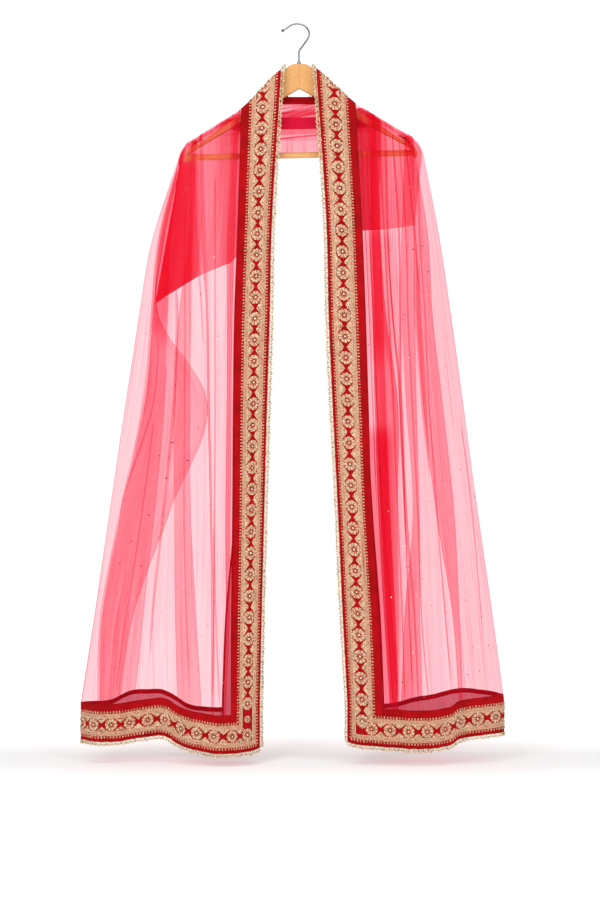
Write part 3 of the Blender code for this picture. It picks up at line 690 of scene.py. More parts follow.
class Panel:
    """One panel's cloth as a grid of points, rows down and columns round from front lace to back lace."""

    def __init__(self, side_name, side, edges, ridge, hems, pleats=None, gathers=(), step=SHEET_STEP):
        self.name = side_name
        self.side = side
        threads = panel_threads(side, edges, pleats or {"front": [], "back": []}, gathers, step)
        lines = [thread_line(item, ridge, hems) for item in threads]
        self.points = np.stack(lines, axis=1)
        self.creases = np.array([item["crease"] for item in threads])
        self.column = {item["name"]: index for index, item in enumerate(threads) if item["name"]}
        self.rows = self.points.shape[0]
        self.lace_row = self.rows - 2
        self.net_row = self.lace_row - TAPE_ROWS
        self.s = self.distances_round()
        self.length = self.s[self.column["back_lace_seam"]]
        steps = np.linalg.norm(np.diff(self.points, axis=0), axis=2)
        up = np.concatenate([np.cumsum(steps[::-1], axis=0)[::-1], np.zeros((1, steps.shape[1]))])
        self.q = up - up[self.lace_row]
        self.normals = grid_normals(self.points) * -side
        self.resample()

    def distances_round(self):
        """s of each column: true at the hem, and fixed by the tape's width across the long borders."""
        row = self.points[self.net_row]
        path = np.concatenate([[0.0], np.cumsum(np.linalg.norm(np.diff(row, axis=0), axis=1))])
        col = self.column
        fixed = [("lace_edge", -LACE_WIDTH), ("lace_seam", 0.0), ("tape_middle", TAPE_WIDTH / 2),
                 ("net_edge", TAPE_WIDTH)]
        round_net = path[col["back_net_edge"]] - path[col["net_edge"]]
        back = TAPE_WIDTH + round_net
        fixed += [("back_net_edge", back), ("back_middle", back + TAPE_WIDTH / 2),
                  ("back_lace_seam", back + TAPE_WIDTH), ("back_lace_edge", back + TAPE_WIDTH + LACE_WIDTH)]
        marks = [path[col[name]] for name, _ in fixed]
        return np.interp(path, marks, [value for _, value in fixed])

    def resample(self):
        """The cloth on even steps of q, so that motifs can be placed by s and q."""
        self.q_grid = np.arange(-LACE_WIDTH, self.q.max() + SHEET_STEP, SHEET_STEP)

        def evenly(table):
            columns = [[np.interp(self.q_grid, self.q[::-1, c], table[::-1, c, k]) for k in range(3)]
                       for c in range(table.shape[1])]
            return np.moveaxis(np.array(columns), 2, 0)

        self.even = evenly(self.points)
        self.even_normals = evenly(self.normals)

    def top(self, s):
        return np.interp(s, self.s, self.q[0])

    def at(self, s, q, height):
        """Points at s and q, this far out from the face of the velvet."""
        column = np.interp(s, self.s, np.arange(len(self.s)))
        row = np.clip((q - self.q_grid[0]) / SHEET_STEP, 0, len(self.q_grid) - 1.001)
        c0 = np.clip(np.floor(column).astype(int), 0, len(self.s) - 2)
        r0 = np.floor(row).astype(int)
        fc = (column - c0)[..., None]
        fr = (row - r0)[..., None]

        def read(table):
            upper = table[r0, c0] * (1 - fc) + table[r0, c0 + 1] * fc
            lower = table[r0 + 1, c0] * (1 - fc) + table[r0 + 1, c0 + 1] * fc
            return upper * (1 - fr) + lower * fr

        lift = np.asarray(height)[..., None] + VELVET_WALL / 2
        return read(self.even) + unit(read(self.even_normals)) * lift


# ---- Net, tape and lining ----

def build_net(panel):
    """The net of a panel, one open sheet from border to border."""
    first, last = panel.column["net_edge"], panel.column["back_net_edge"]
    points = panel.points[:panel.net_row + 1, first:last + 1]
    rows, columns = points.shape[:2]
    uvs = np.stack([np.broadcast_to(panel.s[first:last + 1], (rows, columns)),
                    panel.q[:panel.net_row + 1, first:last + 1]], axis=2).reshape(-1, 2)
    name = "net_sheet_" + panel.name
    made = new_piece(name, points.reshape(-1, 3), grid_faces(rows, columns, flip=panel.side > 0),
                     [FINISH["net"]], ["net_" + panel.name], uvs)
    set_attribute(made, "gather", panel_gather(panel, points))


RIGHT_EXTRA = 0.16            # the right panel hangs closer gathered all over
RIDGE_EXTRA = 2.2             # extra layers where the net is rumpled along the shoulder
RUMPLED = (0.112, 0.215)      # distances from the middle between which it is
RUMPLE_DEPTH = 0.011
ZONE_TOP = -0.16              # height of the ridge in the zones' tables

# Fine gathers of each panel, drawn in thread density: X in the middle of the zone on the ridge and at each
# level, half width, extra layers, and the heights between which it shows.
ZONES_LEFT = [
    ((-0.104, -0.114, -0.117, -0.119, -0.121, -0.123, -0.125), 0.010, 0.35, -0.15, -1.30),
    ((-0.214, -0.236, -0.246, -0.240, -0.262, -0.310, -0.345), 0.016, 0.4, -0.25, -0.60),
]
ZONES_RIGHT = [
    ((0.128, 0.144, 0.150, 0.156, 0.163, 0.172, 0.176), 0.030, 0.22, -0.14, -1.30),
    ((0.150, 0.152, 0.156, 0.160, 0.160, 0.160, 0.160), 0.026, 0.45, -0.36, -0.64),
    ((0.128, 0.140, 0.142, 0.145, 0.148, 0.152, 0.156), 0.022, 0.85, -0.72, -1.40),
]


def panel_gather(panel, points):
    """The extra layers at each point of a panel's net: its zones, the rumpled shoulder and its creases."""
    zones = ZONES_LEFT if panel.side < 0 else ZONES_RIGHT
    total = np.zeros(points.shape[:2])
    heights = points[:, :, 2]
    for track, half, extra, start, end in zones:
        middle = soft_read(np.array([*LEVELS[::-1], ZONE_TOP]), np.array(track)[::-1], heights)
        inside = smooth(1.5 - np.abs(points[:, :, 0] - middle) / half)
        shown = smooth((start - heights) / 0.04) * smooth((heights - end) / 0.08)
        total += inside * shown * extra
    below = points[0, :, 2] - heights
    reach = np.abs(points[:, :, 0])
    rumpled = 0.6 + 0.4 * np.sin(points[:, :, 0] * 420.0 + heights * 300.0)
    shoulder = smooth((reach - RUMPLED[0]) / 0.02) * smooth((RUMPLED[1] - reach) / 0.02)
    total += shoulder * smooth((RUMPLE_DEPTH - below) / 0.006) * rumpled * RIDGE_EXTRA
    creases = panel.creases[panel.column["net_edge"]:panel.column["back_net_edge"] + 1]
    closed = smooth((below - 0.01) / 0.10)
    return total + creases * closed + (RIGHT_EXTRA if panel.side > 0 else 0.0)


def closed_ribbon(points, normals, wall):
    """Vertices and faces of a thin closed wall on a grid, right side first."""
    rows, columns = points.shape[:2]
    count = rows * columns
    vertices = np.concatenate([(points + normals * wall / 2).reshape(-1, 3),
                               (points - normals * wall / 2).reshape(-1, 3)])
    faces = grid_faces(rows, columns)
    outside = len(faces)
    faces += grid_faces(rows, columns, offset=count, flip=True)
    inside = len(faces)
    rim = list(range(columns - 1))
    rim += [r * columns + columns - 1 for r in range(rows - 1)]
    rim += [(rows - 1) * columns + c for c in range(columns - 1, 0, -1)]
    rim += [r * columns for r in range(rows - 1, 0, -1)]
    for here, there in zip(rim, rim[1:] + rim[:1]):
        faces.append((here, there, there + count, here + count))
    return vertices, faces, outside, inside


def build_tape(panel, name, rows, columns, replaced, reach_in):
    """One stretch of velvet tape. reach_in(s, q) is how far a place lies beyond the velvet that is turned
    over to the wrong side along the net edge: above 0 the wrong side shows its lining."""
    r0, r1 = rows
    c0, c1 = columns
    points = panel.points[r0:r1 + 1, c0:c1 + 1]
    normals = panel.normals[r0:r1 + 1, c0:c1 + 1]
    vertices, faces, outside, inside = closed_ribbon(points, normals, VELVET_WALL)
    if panel.side > 0:
        faces = [face[::-1] for face in faces]
    rows_n, columns_n = points.shape[:2]
    finish = np.zeros(len(faces), dtype=np.int32)
    s_grid = np.broadcast_to(panel.s[c0:c1 + 1], (rows_n, columns_n))
    q_grid = panel.q[r0:r1 + 1, c0:c1 + 1]
    reach = reach_in(s_grid, q_grid)
    middle = (reach[:-1, :-1] + reach[1:, 1:]) / 2
    finish[outside:inside] = (middle > 0.0).ravel().astype(np.int32)
    uvs = np.concatenate([np.stack([s_grid, q_grid], axis=2).reshape(-1, 2)] * 2)
    new_piece(name, vertices, faces, [FINISH["velvet"], FINISH["lining"]], replaced, uvs, finish,
              inside)


def build_tapes(panel):
    name, col = panel.name, panel.column
    lace_row, net_row = panel.lace_row, panel.net_row
    back_start = panel.length - TAPE_WIDTH
    build_tape(panel, "velvet_front_" + name, (0, lace_row), (col["lace_seam"], col["net_edge"]),
               ["border_front_" + name], lambda s, q: TAPE_WIDTH - s - SIDE_TURN)
    build_tape(panel, "velvet_back_" + name, (0, lace_row), (col["back_net_edge"], col["back_lace_seam"]),
               ["border_back_" + name], lambda s, q: s - back_start - SIDE_TURN)
    build_tape(panel, "velvet_hem_" + name, (net_row, lace_row), (col["net_edge"], col["back_net_edge"]),
               ["hem_border_" + name], lambda s, q: TAPE_WIDTH - q - HEM_TURN)


# ---- Embroidery and lace: small raised shapes, placed by s and q ----

class Work:
    """Many small shapes gathered into one mesh."""

    def __init__(self):
        self.vertices = []
        self.faces = []
        self.finish = []
        self.count = 0

    def add(self, vertices, faces, finish):
        vertices = np.asarray(vertices).reshape(-1, 3)
        self.vertices.append(vertices)
        self.faces += [tuple(index + self.count for index in face) for face in faces]
        self.finish += [finish] * len(faces)
        self.count += len(vertices)

    def stamp(self, surface, shape, places, finish):
        """Put a flat shape with heights at each place: s, q, turn, size."""
        vertices, faces = shape
        places = np.asarray(places, dtype=float).reshape(-1, 4)
        if not len(places):
            return
        turn, size = places[:, 2:3], places[:, 3:4]
        a = vertices[None, :, 0] * size
        b = vertices[None, :, 1] * size
        s = places[:, 0:1] + a * np.cos(turn) - b * np.sin(turn)
        q = places[:, 1:2] + a * np.sin(turn) + b * np.cos(turn)
        world = surface(s, q, np.broadcast_to(vertices[None, :, 2], s.shape))
        per = len(vertices)
        faces = [tuple(index + place * per for index in face)
                 for place in range(len(places)) for face in faces]
        self.add(world, faces, finish)

    def piece(self, name, finishes, slot_name, replaced=()):
        vertices = np.concatenate(self.vertices)
        new_piece(name, vertices, self.faces, [FINISH[key] for key in finishes], replaced,
                  None, self.finish)


def stitch(length, width, height, crown, count=5, turn=0.0, shift=(0.0, 0.0)):
    """A raised oval, turned and shifted."""
    return turned_shape(mound(ellipse(length, width, count), height, crown), turn, shift)


def mound(outline, height, crown, base=0.0004):
    """A raised shape: its outline, the same drawn in and lifted, and its middle."""
    outline = np.array(outline, dtype=float)
    count = len(outline)
    middle = outline.mean(axis=0)
    inner = middle + (outline - middle) * crown
    vertices = np.concatenate([
        np.column_stack([outline, np.full(count, base)]),
        np.column_stack([inner, np.full(count, base + height)]),
        [[*middle, base + height * 1.15]],
    ])
    faces = []
    for i in range(count):
        j = (i + 1) % count
        faces.append((i, j, count + j, count + i))
        faces.append((count + i, count + j, 2 * count))
    return vertices, faces


def joined(shapes):
    vertices, faces, count = [], [], 0
    for shape_vertices, shape_faces in shapes:
        vertices.append(shape_vertices)
        faces += [tuple(index + count for index in face) for face in shape_faces]
        count += len(shape_vertices)
    return np.concatenate(vertices), faces


def turned_shape(shape, angle, shift=(0.0, 0.0)):
    vertices, faces = shape
    turned = vertices.copy()
    cos, sin = math.cos(angle), math.sin(angle)
    turned[:, 0] = vertices[:, 0] * cos - vertices[:, 1] * sin + shift[0]
    turned[:, 1] = vertices[:, 0] * sin + vertices[:, 1] * cos + shift[1]
    return turned, faces


def ellipse(length, width, count=8):
    return [(length / 2 * math.cos(2 * math.pi * i / count), width / 2 * math.sin(2 * math.pi * i / count))
            for i in range(count)]


def rosette_petals():
    """Ten petals round a rosette, wedges that widen outwards, and the bright stitch down each."""
    petal = mound([(0.0046, -0.0007), (0.0078, -0.0026), (0.0108, -0.0028), (ROSETTE_RADIUS, 0.0),
                   (0.0108, 0.0028), (0.0078, 0.0026), (0.0046, 0.0007)], 0.0010, 0.55)
    vein = stitch(0.0050, 0.0009, 0.0016, 0.6, shift=(0.0082, 0.0))
    turns = [2 * math.pi * i / 10 for i in range(10)]
    return [joined([turned_shape(shape, turn) for turn in turns]) for shape in (petal, vein)]


def rosette_ring():
    radius = 0.0039
    return joined([stitch(0.0016, 0.0012, 0.0007, 0.5, 5, angle,
                          (radius * math.cos(angle), radius * math.sin(angle)))
                   for angle in (2 * math.pi * i / 9 for i in range(9))])


def rosette_stud():
    return mound(ellipse(0.0042, 0.0042, 8), 0.0016, 0.55)


def tooth_shape():
    """A leaf-shaped triangle that stands on a band, with slanting stitches across it."""
    outer = mound([(-0.0125, 0.0), (0.0125, 0.0), (0.0082, 0.0036), (0.0048, 0.0066), (0.0, 0.0098),
                   (-0.0048, 0.0066), (-0.0082, 0.0036)], 0.0005, 0.85)
    slants = [(0.7, -0.0082, 0.0012), (0.8, -0.0052, 0.0024), (0.9, -0.0022, 0.0036), (2.24, 0.0022, 0.0036),
              (2.34, 0.0052, 0.0024), (2.44, 0.0082, 0.0012), (1.57, 0.0, 0.0070)]
    stitches = [stitch(0.0040, 0.0010, 0.0012, 0.6, 5, lean, (shift, rise)) for lean, shift, rise in slants]
    return joined([outer] + stitches)


def dot_shape():
    return mound(ellipse(0.0028, 0.0044, 6), 0.0011, 0.5)


def rope_shape():
    """One stitch of the cord that runs along each edge of a band."""
    return stitch(0.0034, 0.0016, 0.0010, 0.5, 6, 0.5)


def hatch_shape():
    """One slanting stitch that fills a band."""
    return stitch(0.0052, 0.0011, 0.0009, 0.55, 5, 1.0)


def lace_scallop():
    """One scallop of the lace, standing out from the seam: an arched cord, beads round it and a dark bead in
    the middle. Returns the gold shape and the dark one."""
    parts = []
    for i in range(7):
        angle = math.pi * i / 6
        reach = (0.0036 * math.cos(angle), -0.0014 - 0.0036 * math.sin(angle))
        parts.append(stitch(0.0028, 0.0019, 0.0011, 0.5, 5, angle + math.pi / 2, reach))
    for place in ((-0.0033, -0.0048), (0.0, -0.0064), (0.0033, -0.0048)):
        parts.append(stitch(0.0030, 0.0030, 0.0017, 0.6, 6, shift=place))
    for shift in (-0.0024, 0.0024):
        parts.append(stitch(0.0050, 0.0020, 0.0012, 0.5, shift=(shift, -0.0004)))
    bead = stitch(0.0020, 0.0018, 0.0010, 0.6, 6, shift=(0.0, -0.0028))
    knot = stitch(0.0016, 0.0016, 0.0016, 0.6, shift=(0.0045, -0.0036))
    return joined(parts), joined([bead, knot])


def run_parts(panel, offset, pitch):
    """Places at even steps along a line at this offset from the outer edge, with the turn that points across
    the tape: down the front border, round the hem and up the back border."""
    far = panel.length - offset
    start = offset + pitch / 2
    front = [(offset, q, -math.pi / 2, 1.0) for q in np.arange(start, float(panel.top(offset)), pitch)]
    hem = [(s, offset, 0.0, 1.0) for s in np.arange(start, far, pitch)]
    back = [(far, q, math.pi / 2, 1.0) for q in np.arange(start, float(panel.top(far)), pitch)]
    return front, hem, back


def uneven(places, turn, size):
    """Places as an array, each turned and sized a little differently."""
    places = np.array(places)
    places[:, 2] += rng.normal(0.0, turn, len(places))
    places[:, 3] *= rng.normal(1.0, size, len(places))
    return places


def run_places(panel, offset, pitch, jitter):
    front, hem, back = run_parts(panel, offset, pitch)
    return uneven(front + hem + back, jitter, jitter * 0.6)


def rosette_places(panel, first_long, first_hem):
    """Rosettes of the front border, the hem and the back border, and the gaps between them."""
    length = panel.length
    places, teeth = [], []
    for s, turn in ((CENTRE, -math.pi / 2), (length - CENTRE, math.pi / 2)):
        top = float(panel.top(s))
        for q in np.arange(first_long, top - ROSETTE_RADIUS * 0.4, ROSETTE_PITCH):
            places.append((s, q, turn, 1.0))
            teeth.append((s, q + ROSETTE_PITCH / 2, turn))
    for s in np.arange(first_hem, length - CENTRE, HEM_ROSETTE_PITCH):
        places.append((s, CENTRE, 0.0, 0.96))
        teeth.append((s + HEM_ROSETTE_PITCH / 2, CENTRE, 0.0))
    return np.array(places), teeth


def tooth_places(teeth):
    """A tooth on each band, pointing to the middle, in every gap between rosettes."""
    places = []
    for s, q, turn in teeth:
        size = 0.88 if turn == 0.0 else 1.0
        across = np.array([-math.sin(turn), math.cos(turn)])
        for band, flip in ((BAND_OUTER[1], 0.0), (BAND_INNER[0], math.pi)):
            reach = band - CENTRE
            places.append((s + across[0] * reach, q + across[1] * reach, turn + flip, size))
    return np.array(places)


def band_grid(panel, work, edges, height, finish):
    """A raised strip between two offsets, round the whole panel."""
    length = panel.length
    lines = []
    for offset in edges:
        down = np.linspace(float(panel.top(offset)), offset, 260)
        across = np.linspace(offset, length - offset, 420)[1:]
        up = np.linspace(offset, float(panel.top(length - offset)), 260)[1:]
        s = np.concatenate([np.full(len(down), offset), across, np.full(len(up), length - offset)])
        q = np.concatenate([down, np.full(len(across), offset), up])
        lines.append(np.stack([s, q], axis=1))
    low, high = lines
    rows = [low, blend(low, high, 0.08), blend(low, high, 0.92), high]
    raised = [0.0005, height, height, 0.0005]
    points = [panel.at(row[:, 0], row[:, 1], np.full(len(row), lift)) for row, lift in zip(rows, raised)]
    grid = np.stack(points, axis=0)
    work.add(grid, grid_faces(*grid.shape[:2], flip=panel.side < 0), finish)


def build_embroidery(panel, first_long, first_hem):
    work = Work()
    rosettes, teeth = rosette_places(panel, first_long, first_hem)
    rosettes = np.vstack([rosettes, [(CENTRE, (first_long + CENTRE) / 2, 0.0, 0.55)]])
    spun = rosettes.copy()
    spun[:, 2] += rng.uniform(0, 0.5, len(spun))
    spun[:, 3] *= rng.normal(1.0, 0.02, len(spun))
    petals, veins = rosette_petals()
    gold, stud, ground = range(3)
    work.stamp(panel.at, petals, spun, gold)
    work.stamp(panel.at, veins, spun, stud)
    work.stamp(panel.at, rosette_ring(), spun, gold)
    work.stamp(panel.at, rosette_stud(), spun, stud)
    work.stamp(panel.at, tooth_shape(), tooth_places(teeth), gold)
    for offset in (DOTS_OUTER, DOTS_INNER):
        work.stamp(panel.at, dot_shape(), run_places(panel, offset, DOT_PITCH, 0.10), gold)
    for band, inner_edge in ((BAND_OUTER, BAND_OUTER[1]), (BAND_INNER, BAND_INNER[0])):
        band_grid(panel, work, band, BAND_HEIGHT, ground)
        middle = (band[0] + band[1]) / 2
        work.stamp(panel.at, hatch_shape(), run_places(panel, middle, HATCH_PITCH, 0.06), gold)
        work.stamp(panel.at, rope_shape(), run_places(panel, inner_edge, ROPE_PITCH, 0.06), stud)
    work.piece("embroidery_" + panel.name, ["gold", "stud", "gold_ground"], "lace")


def build_lace(panel):
    """The lace round the panel: down the front edge, along the hem and up the back edge."""
    gold, dark = lace_scallop()
    for part, places in zip(("front", "hem", "back"), run_parts(panel, 0.0, LACE_PITCH)):
        places = uneven(places, 0.09, 0.05)
        work = Work()
        work.stamp(panel.at, gold, places, 0)
        work.stamp(panel.at, dark, places, 1)
        work.piece(f"lace_{part}_edging_{panel.name}", ["lace", "dark_sequin"], "lace",
                   [f"lace_{part}_{panel.name}"])


def scatter_sequins(panel, count):
    """Tiny sequins strewn over the net."""
    work = Work()
    s = rng.uniform(TAPE_WIDTH + 0.01, panel.length - TAPE_WIDTH - 0.01, count)
    q = rng.uniform(TAPE_WIDTH + 0.02, 1.02, count)
    disc = mound(ellipse(0.0024, 0.0024, 7), 0.0006, 0.6)
    sizes = rng.uniform(0.5, 1.05, count)
    places = np.stack([s, q, np.zeros(count), sizes], axis=1)
    split = count * 3 // 5
    work.stamp(panel.at, disc, places[:split], 0)
    work.stamp(panel.at, disc, places[split:], 1)
    work.piece("sequins_" + panel.name, ["stud", "dark_sequin"], "lace")


# ---- Neck stretch ----

def ridge_height(x):
    table = RIDGE_LEFT if x < 0 else RIDGE_RIGHT
    return float(np.interp(x, *np.array(table).T))


def refined_columns():
    """The neck's columns with more between them."""
    table = []
    for before, after in zip(NECK_COLUMNS, NECK_COLUMNS[1:]):
        parts = max(1, math.ceil(abs(after[0] - before[0]) / NECK_STEP))
        for part in range(parts):
            share = part / parts
            tops = [ridge_height(row[0]) - RIDGE_DROP if row[2] is None else row[2]
                    for row in (before, after)]
            loose = before[2] is not None or after[2] is not None
            table.append((blend(before[0], after[0], share), blend(before[1], after[1], share),
                          blend(tops[0], tops[1], share) if loose else before[2],
                          blend(before[3], after[3], share), blend(before[4], after[4], share)))
    table.append(NECK_COLUMNS[-1])
    return table


def neck_layer(column, standoff, lowered, shares):
    """One layer of a neck column, from its top to just above its lower fold."""
    top_x, start_turn, top_z, bottom_x, bottom_z = column
    top = (ridge_height(top_x) if top_z is None else top_z + NECK_TUCK + RIDGE_DROP) - lowered
    near = float(smooth(1.0 - abs(top_x - HANGER_X) / 0.075))
    points = []
    for step in range(6):
        swing = math.radians(blend(start_turn, 90, step / 6))
        points.append((top_x, standoff * math.sin(swing), top - RIDGE_DROP * (1.0 - math.cos(swing))))
    hang = top - RIDGE_DROP
    for share in shares:
        crease = NECK_CREASE * near * math.sin(share * 16.0 + top_x * 40.0)
        ripple = FLAP_RIPPLE * (1 - near) * math.sin(top_x * 260.0)
        points.append((blend(top_x, bottom_x, share), standoff + crease + ripple,
                       blend(hang, bottom_z, share)))
    return np.array(points)


def build_neck_net():
    shares = np.linspace(0.0, 0.985, NECK_ROWS)
    columns = []
    for column in refined_columns():
        rear = neck_layer(column, NECK_REAR_Y, 0.0, shares)
        inner = neck_layer(column, NECK_INNER_Y, UNDER_LAYER, shares)
        fold = np.array([[column[3], (NECK_REAR_Y + NECK_INNER_Y) / 2, column[4]]])
        columns.append(np.concatenate([rear, fold, inner[::-1]]))
    points = np.stack(columns, axis=1)
    rows, count = points.shape[:2]
    down = np.concatenate([[0.0], np.cumsum(np.linalg.norm(np.diff(points[:, count // 4], axis=0), axis=1))])
    uvs = np.stack(np.meshgrid(points[0, :, 0], down), axis=2).reshape(-1, 2)
    made = new_piece("net_sheet_neck", points.reshape(-1, 3), grid_faces(rows, count), [FINISH["neck_net"]],
                     ["net_neck"], uvs)
    set_attribute(made, "gather", neck_gather(points))


# Bunched folds behind the neck: Z in the middle of the hanger, slope, half the height and the extra layers.
NECK_FOLDS = [
    (-0.1410, 0.02, 0.0030, 0.9),
    (-0.1455, 0.16, 0.0010, 1.2), (-0.1490, 0.30, 0.0009, 1.5), (-0.1525, 0.22, 0.0012, 1.8),
    (-0.1600, 0.12, 0.0060, 1.8), (-0.1590, 0.38, 0.0010, 1.4), (-0.1645, 0.26, 0.0010, 2.0),
    (-0.1770, 0.02, 0.0098, 9.0), (-0.1715, 0.20, 0.0012, 2.0),
    (-0.1925, 0.04, 0.0050, 0.9), (-0.2020, 0.10, 0.0011, 2.2), (-0.2060, 0.02, 0.0030, 0.3),
]


LEFT_FLAP_EXTRA = 2.6                 # extra layers near the tip of the left flap
BORDER_EXTRA = (0.7, 2.0)             # and beside the left and the right border


def neck_gather(points):
    """The extra layers at each point of the neck's net."""
    x, z = points[:, :, 0], points[:, :, 2]
    total = np.zeros(x.shape)
    near = smooth(1.7 - np.abs(x - HANGER_X) / 0.09)
    for middle, slope, half, extra in NECK_FOLDS:
        away = np.abs(z - middle - (x - HANGER_X) * slope)
        total += smooth((half - away) / 0.0016 + 0.5) * extra * near
    left_flap = smooth((-0.186 - x) / 0.030 + 0.5) * smooth((-0.215 - z) / 0.05)
    beside_border = smooth((np.abs(x) - 0.10) / 0.01) * smooth((0.165 - np.abs(x)) / 0.035)
    border_extra = np.where(x > 0, BORDER_EXTRA[1], BORDER_EXTRA[0])
    return total + left_flap * LEFT_FLAP_EXTRA + beside_border * border_extra


def build_neck_tape():
    """The border behind the neck, gathered behind the middle, with its lace edge and gold."""
    grid = []
    for share, middle_y, middle_z in NECK_TAPE_SECTION:
        left_x = blend(EDGES_LEFT["net_edge"][0], EDGES_LEFT["lace_edge"][0], share)
        right_x = blend(EDGES_RIGHT["net_edge"][0], EDGES_RIGHT["lace_edge"][0], share)
        middle = np.array([HANGER_X, middle_y, middle_z])
        halves = []
        for x in (left_x, right_x):
            top = ridge_height(x)
            swings = np.radians(np.arange(0, 91, TURN_STEP))
            half = [np.array([x, NECK_TAPE_STANDOFF * math.sin(a), top - RIDGE_DROP * (1 - math.cos(a))])
                    for a in swings]
            shoulder = half[-1]
            for part in np.linspace(0, 1, 18)[1:-1]:
                point = blend(shoulder, middle, part)
                point[0] = blend(shoulder[0], middle[0], part ** 1.8)
                point[2] = blend(shoulder[2], middle[2], 1.0 - (1.0 - part) ** 5)
                half.append(point)
            halves.append(half)
        grid.append(halves[0] + [middle] + halves[1][::-1])
    points = np.array(grid)
    normals = grid_normals(points)
    tape = points[:-1]
    vertices, faces, outside, inside = closed_ribbon(tape, normals[:-1], VELVET_WALL)
    new_piece("velvet_neck", vertices, faces, [FINISH["velvet"]], ["border_neck"], flat_from=inside)
    surface = plain_surface(points, normals * -1.0)
    work = Work()
    length = points.shape[1] - 1
    places = [(share, along, 0.0, 1.0) for share in (0.55, 0.66, 0.80)
              for along in np.arange(0.5, length, 0.9)]
    speck = mound(ellipse(0.0030, 0.0018, 6), 0.0008, 0.5)
    for place in places:
        centre, normal = surface(place[0], place[1])
        add_speck(work, speck, centre, normal, 0)
    for along in np.arange(0.3, length, 0.45):
        centre, normal = surface(0.97, along)
        add_speck(work, speck, centre, normal, 1)
    work.piece("gold_neck", ["gold", "lace"], "lace", ["lace_neck"])


def plain_surface(points, normals):
    """Read a grid by share across and column along."""
    def read(share, along):
        row = share * (points.shape[0] - 1)
        r0 = min(int(row), points.shape[0] - 2)
        c0 = min(int(along), points.shape[1] - 2)
        fr, fc = row - r0, along - c0
        centre = blend(blend(points[r0, c0], points[r0 + 1, c0], fr),
                       blend(points[r0, c0 + 1], points[r0 + 1, c0 + 1], fr), fc)
        return centre, normals[r0, c0]
    return read


def add_speck(work, shape, centre, normal, finish):
    vertices, faces = shape
    normal = Vector(normal)
    frame_x = normal.orthogonal().normalized()
    frame_y = normal.cross(frame_x)
    axes = np.array([frame_x, frame_y, normal])
    work.add(vertices @ axes + centre, faces, finish)


# ---- Hanger, studio and camera ----

def finish_hanger():
    for name, finish in (("hanger_arm_left", "wood_left"), ("hanger_arm_right", "wood_right"),
                         ("hanger_bar", "wood"), ("hanger_hook", "chrome"), ("hook_ball", "chrome"),
                         ("hanger_ferrule", "chrome")):
        for material_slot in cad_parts[name].material_slots:
            material_slot.material = FINISH[finish]


def build_glue_joint():
    """The thin line where the two arms are glued together."""
    x, y = 0.0004, 0.0057
    low, high = -0.1168, -0.0724
    corners = [(HANGER_X + a * x, b * y, c) for a in (-1, 1) for b in (-1, 1) for c in (low, high)]
    faces = [(0, 1, 3, 2), (4, 6, 7, 5), (0, 4, 5, 1), (2, 3, 7, 6), (0, 2, 6, 4), (1, 5, 7, 3)]
    new_piece("glue_joint", corners, faces, [FINISH["wood"]], flat_from=0)


def stage_object(name, vertices, faces, shade, glow, under=1.0):
    mesh = bpy.data.meshes.new(name)
    mesh.from_pydata(vertices, [], faces)
    mesh.materials.append(studio_material(name, shade, glow, under))
    mesh.shade_smooth()
    made = bpy.data.objects.new(name, mesh)
    bpy.context.scene.collection.objects.link(made)
    return made


def build_studio():
    """A white floor inside a round white cove, wide enough to stand in and look from every side."""
    floor, wall, cove, top = -1.338, 8.0, 1.0, 7.0
    across = np.linspace(-5.0, 5.0, 3)
    along = np.linspace(-3.5, 0.35, 9)
    vertices = [(x, y, floor) for y in along for x in across]
    # The floor's glow drops to under = 0.42 just under the cloth: a painted shadow.
    stage_object("studio_floor", vertices, grid_faces(len(along), len(across)),
                 shade=0.80, glow=0.66, under=0.42)
    profile = [(r, floor - 0.001) for r in (0.05, 2.0, 4.0, wall - cove)]
    profile += [(wall - cove + cove * math.sin(a), floor + cove - cove * math.cos(a))
                for a in np.linspace(0.1, math.pi / 2, 12)]
    profile.append((wall, top))
    turns = np.linspace(0.0, math.tau, 65)
    vertices = [(r * math.cos(a), r * math.sin(a), z) for r, z in profile for a in turns]
    backdrop = stage_object("studio_backdrop", vertices, grid_faces(len(profile), len(turns)),
                            shade=0.30, glow=0.93)
    backdrop.visible_diffuse = False
    backdrop.visible_glossy = False
    backdrop.visible_shadow = False


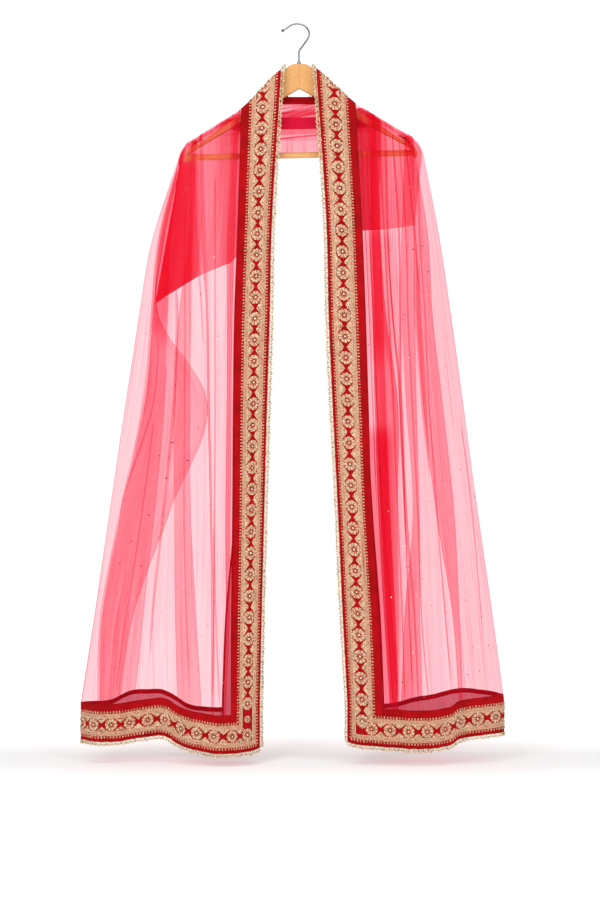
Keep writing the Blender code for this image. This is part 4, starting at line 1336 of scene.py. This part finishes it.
def add_light(name, place, target, size, power):
    data = bpy.data.lights.new(name, "AREA")
    data.shape = "RECTANGLE"
    data.size, data.size_y = size
    data.energy = power
    lamp = bpy.data.objects.new(name, data)
    lamp.location = place
    lamp.rotation_euler = (Vector(target) - Vector(place)).to_track_quat("-Z", "Y").to_euler()
    bpy.context.scene.collection.objects.link(lamp)


def build_lights():
    world = bpy.data.worlds.new("soft_white")
    world.use_nodes = True
    background = world.node_tree.nodes["Background"]
    background.inputs["Color"].default_value = (1.0, 1.0, 1.0, 1.0)
    background.inputs["Strength"].default_value = 0.52
    bpy.context.scene.world = world
    add_light("key", (-1.6, -3.0, 0.9), (0.0, 0.0, -0.7), (1.6, 1.6), 34.0)
    add_light("fill", (2.2, -2.6, 0.2), (0.0, 0.0, -0.7), (1.8, 1.8), 12.0)
    add_light("top", (0.0, -0.6, 1.6), (0.0, 0.1, -0.8), (2.5, 1.2), 16.0)


def build_camera():
    data = bpy.data.cameras.new("camera")
    data.sensor_width = 36.0
    data.sensor_fit = "AUTO"
    data.lens = 71.0
    camera = bpy.data.objects.new("camera", data)
    camera.location = (0.0045, -3.23, -0.774)
    camera.rotation_euler = (math.radians(90.0), 0.0, 0.0)
    bpy.context.scene.collection.objects.link(camera)
    bpy.context.scene.camera = camera


# ---- Putting it together ----

def main():
    """Build everything. The last two numbers of a side are s or q of its first rosettes on border and hem."""
    build_camera()
    build_lights()
    build_studio()
    finish_hanger()
    build_glue_joint()
    sides = (
        ("left", -1, EDGES_LEFT, RIDGE_LEFT, HEM_LEFT, PLEATS_LEFT, GATHERS_LEFT, 0.086, 0.0305),
        ("right", 1, EDGES_RIGHT, RIDGE_RIGHT, HEM_RIGHT, PLEATS_RIGHT, GATHERS_RIGHT, 0.0436, 0.0480),
    )
    for name, side, edges, ridge, hems, pleats, gathers, first_long, first_hem in sides:
        cloth = Panel(name, side, edges, ridge, hems, pleats, gathers, NET_STEP)
        build_net(cloth)
        scatter_sequins(cloth, SEQUIN_COUNT)
        plain = Panel(name, side, edges, ridge, hems)
        build_tapes(plain)
        build_embroidery(plain, first_long, first_hem)
        build_lace(plain)
    build_neck_net()
    build_neck_tape()
    scene = bpy.context.scene
    scene.view_settings.view_transform = "Standard"
    scene.cycles.transparent_max_bounces = 64


main()
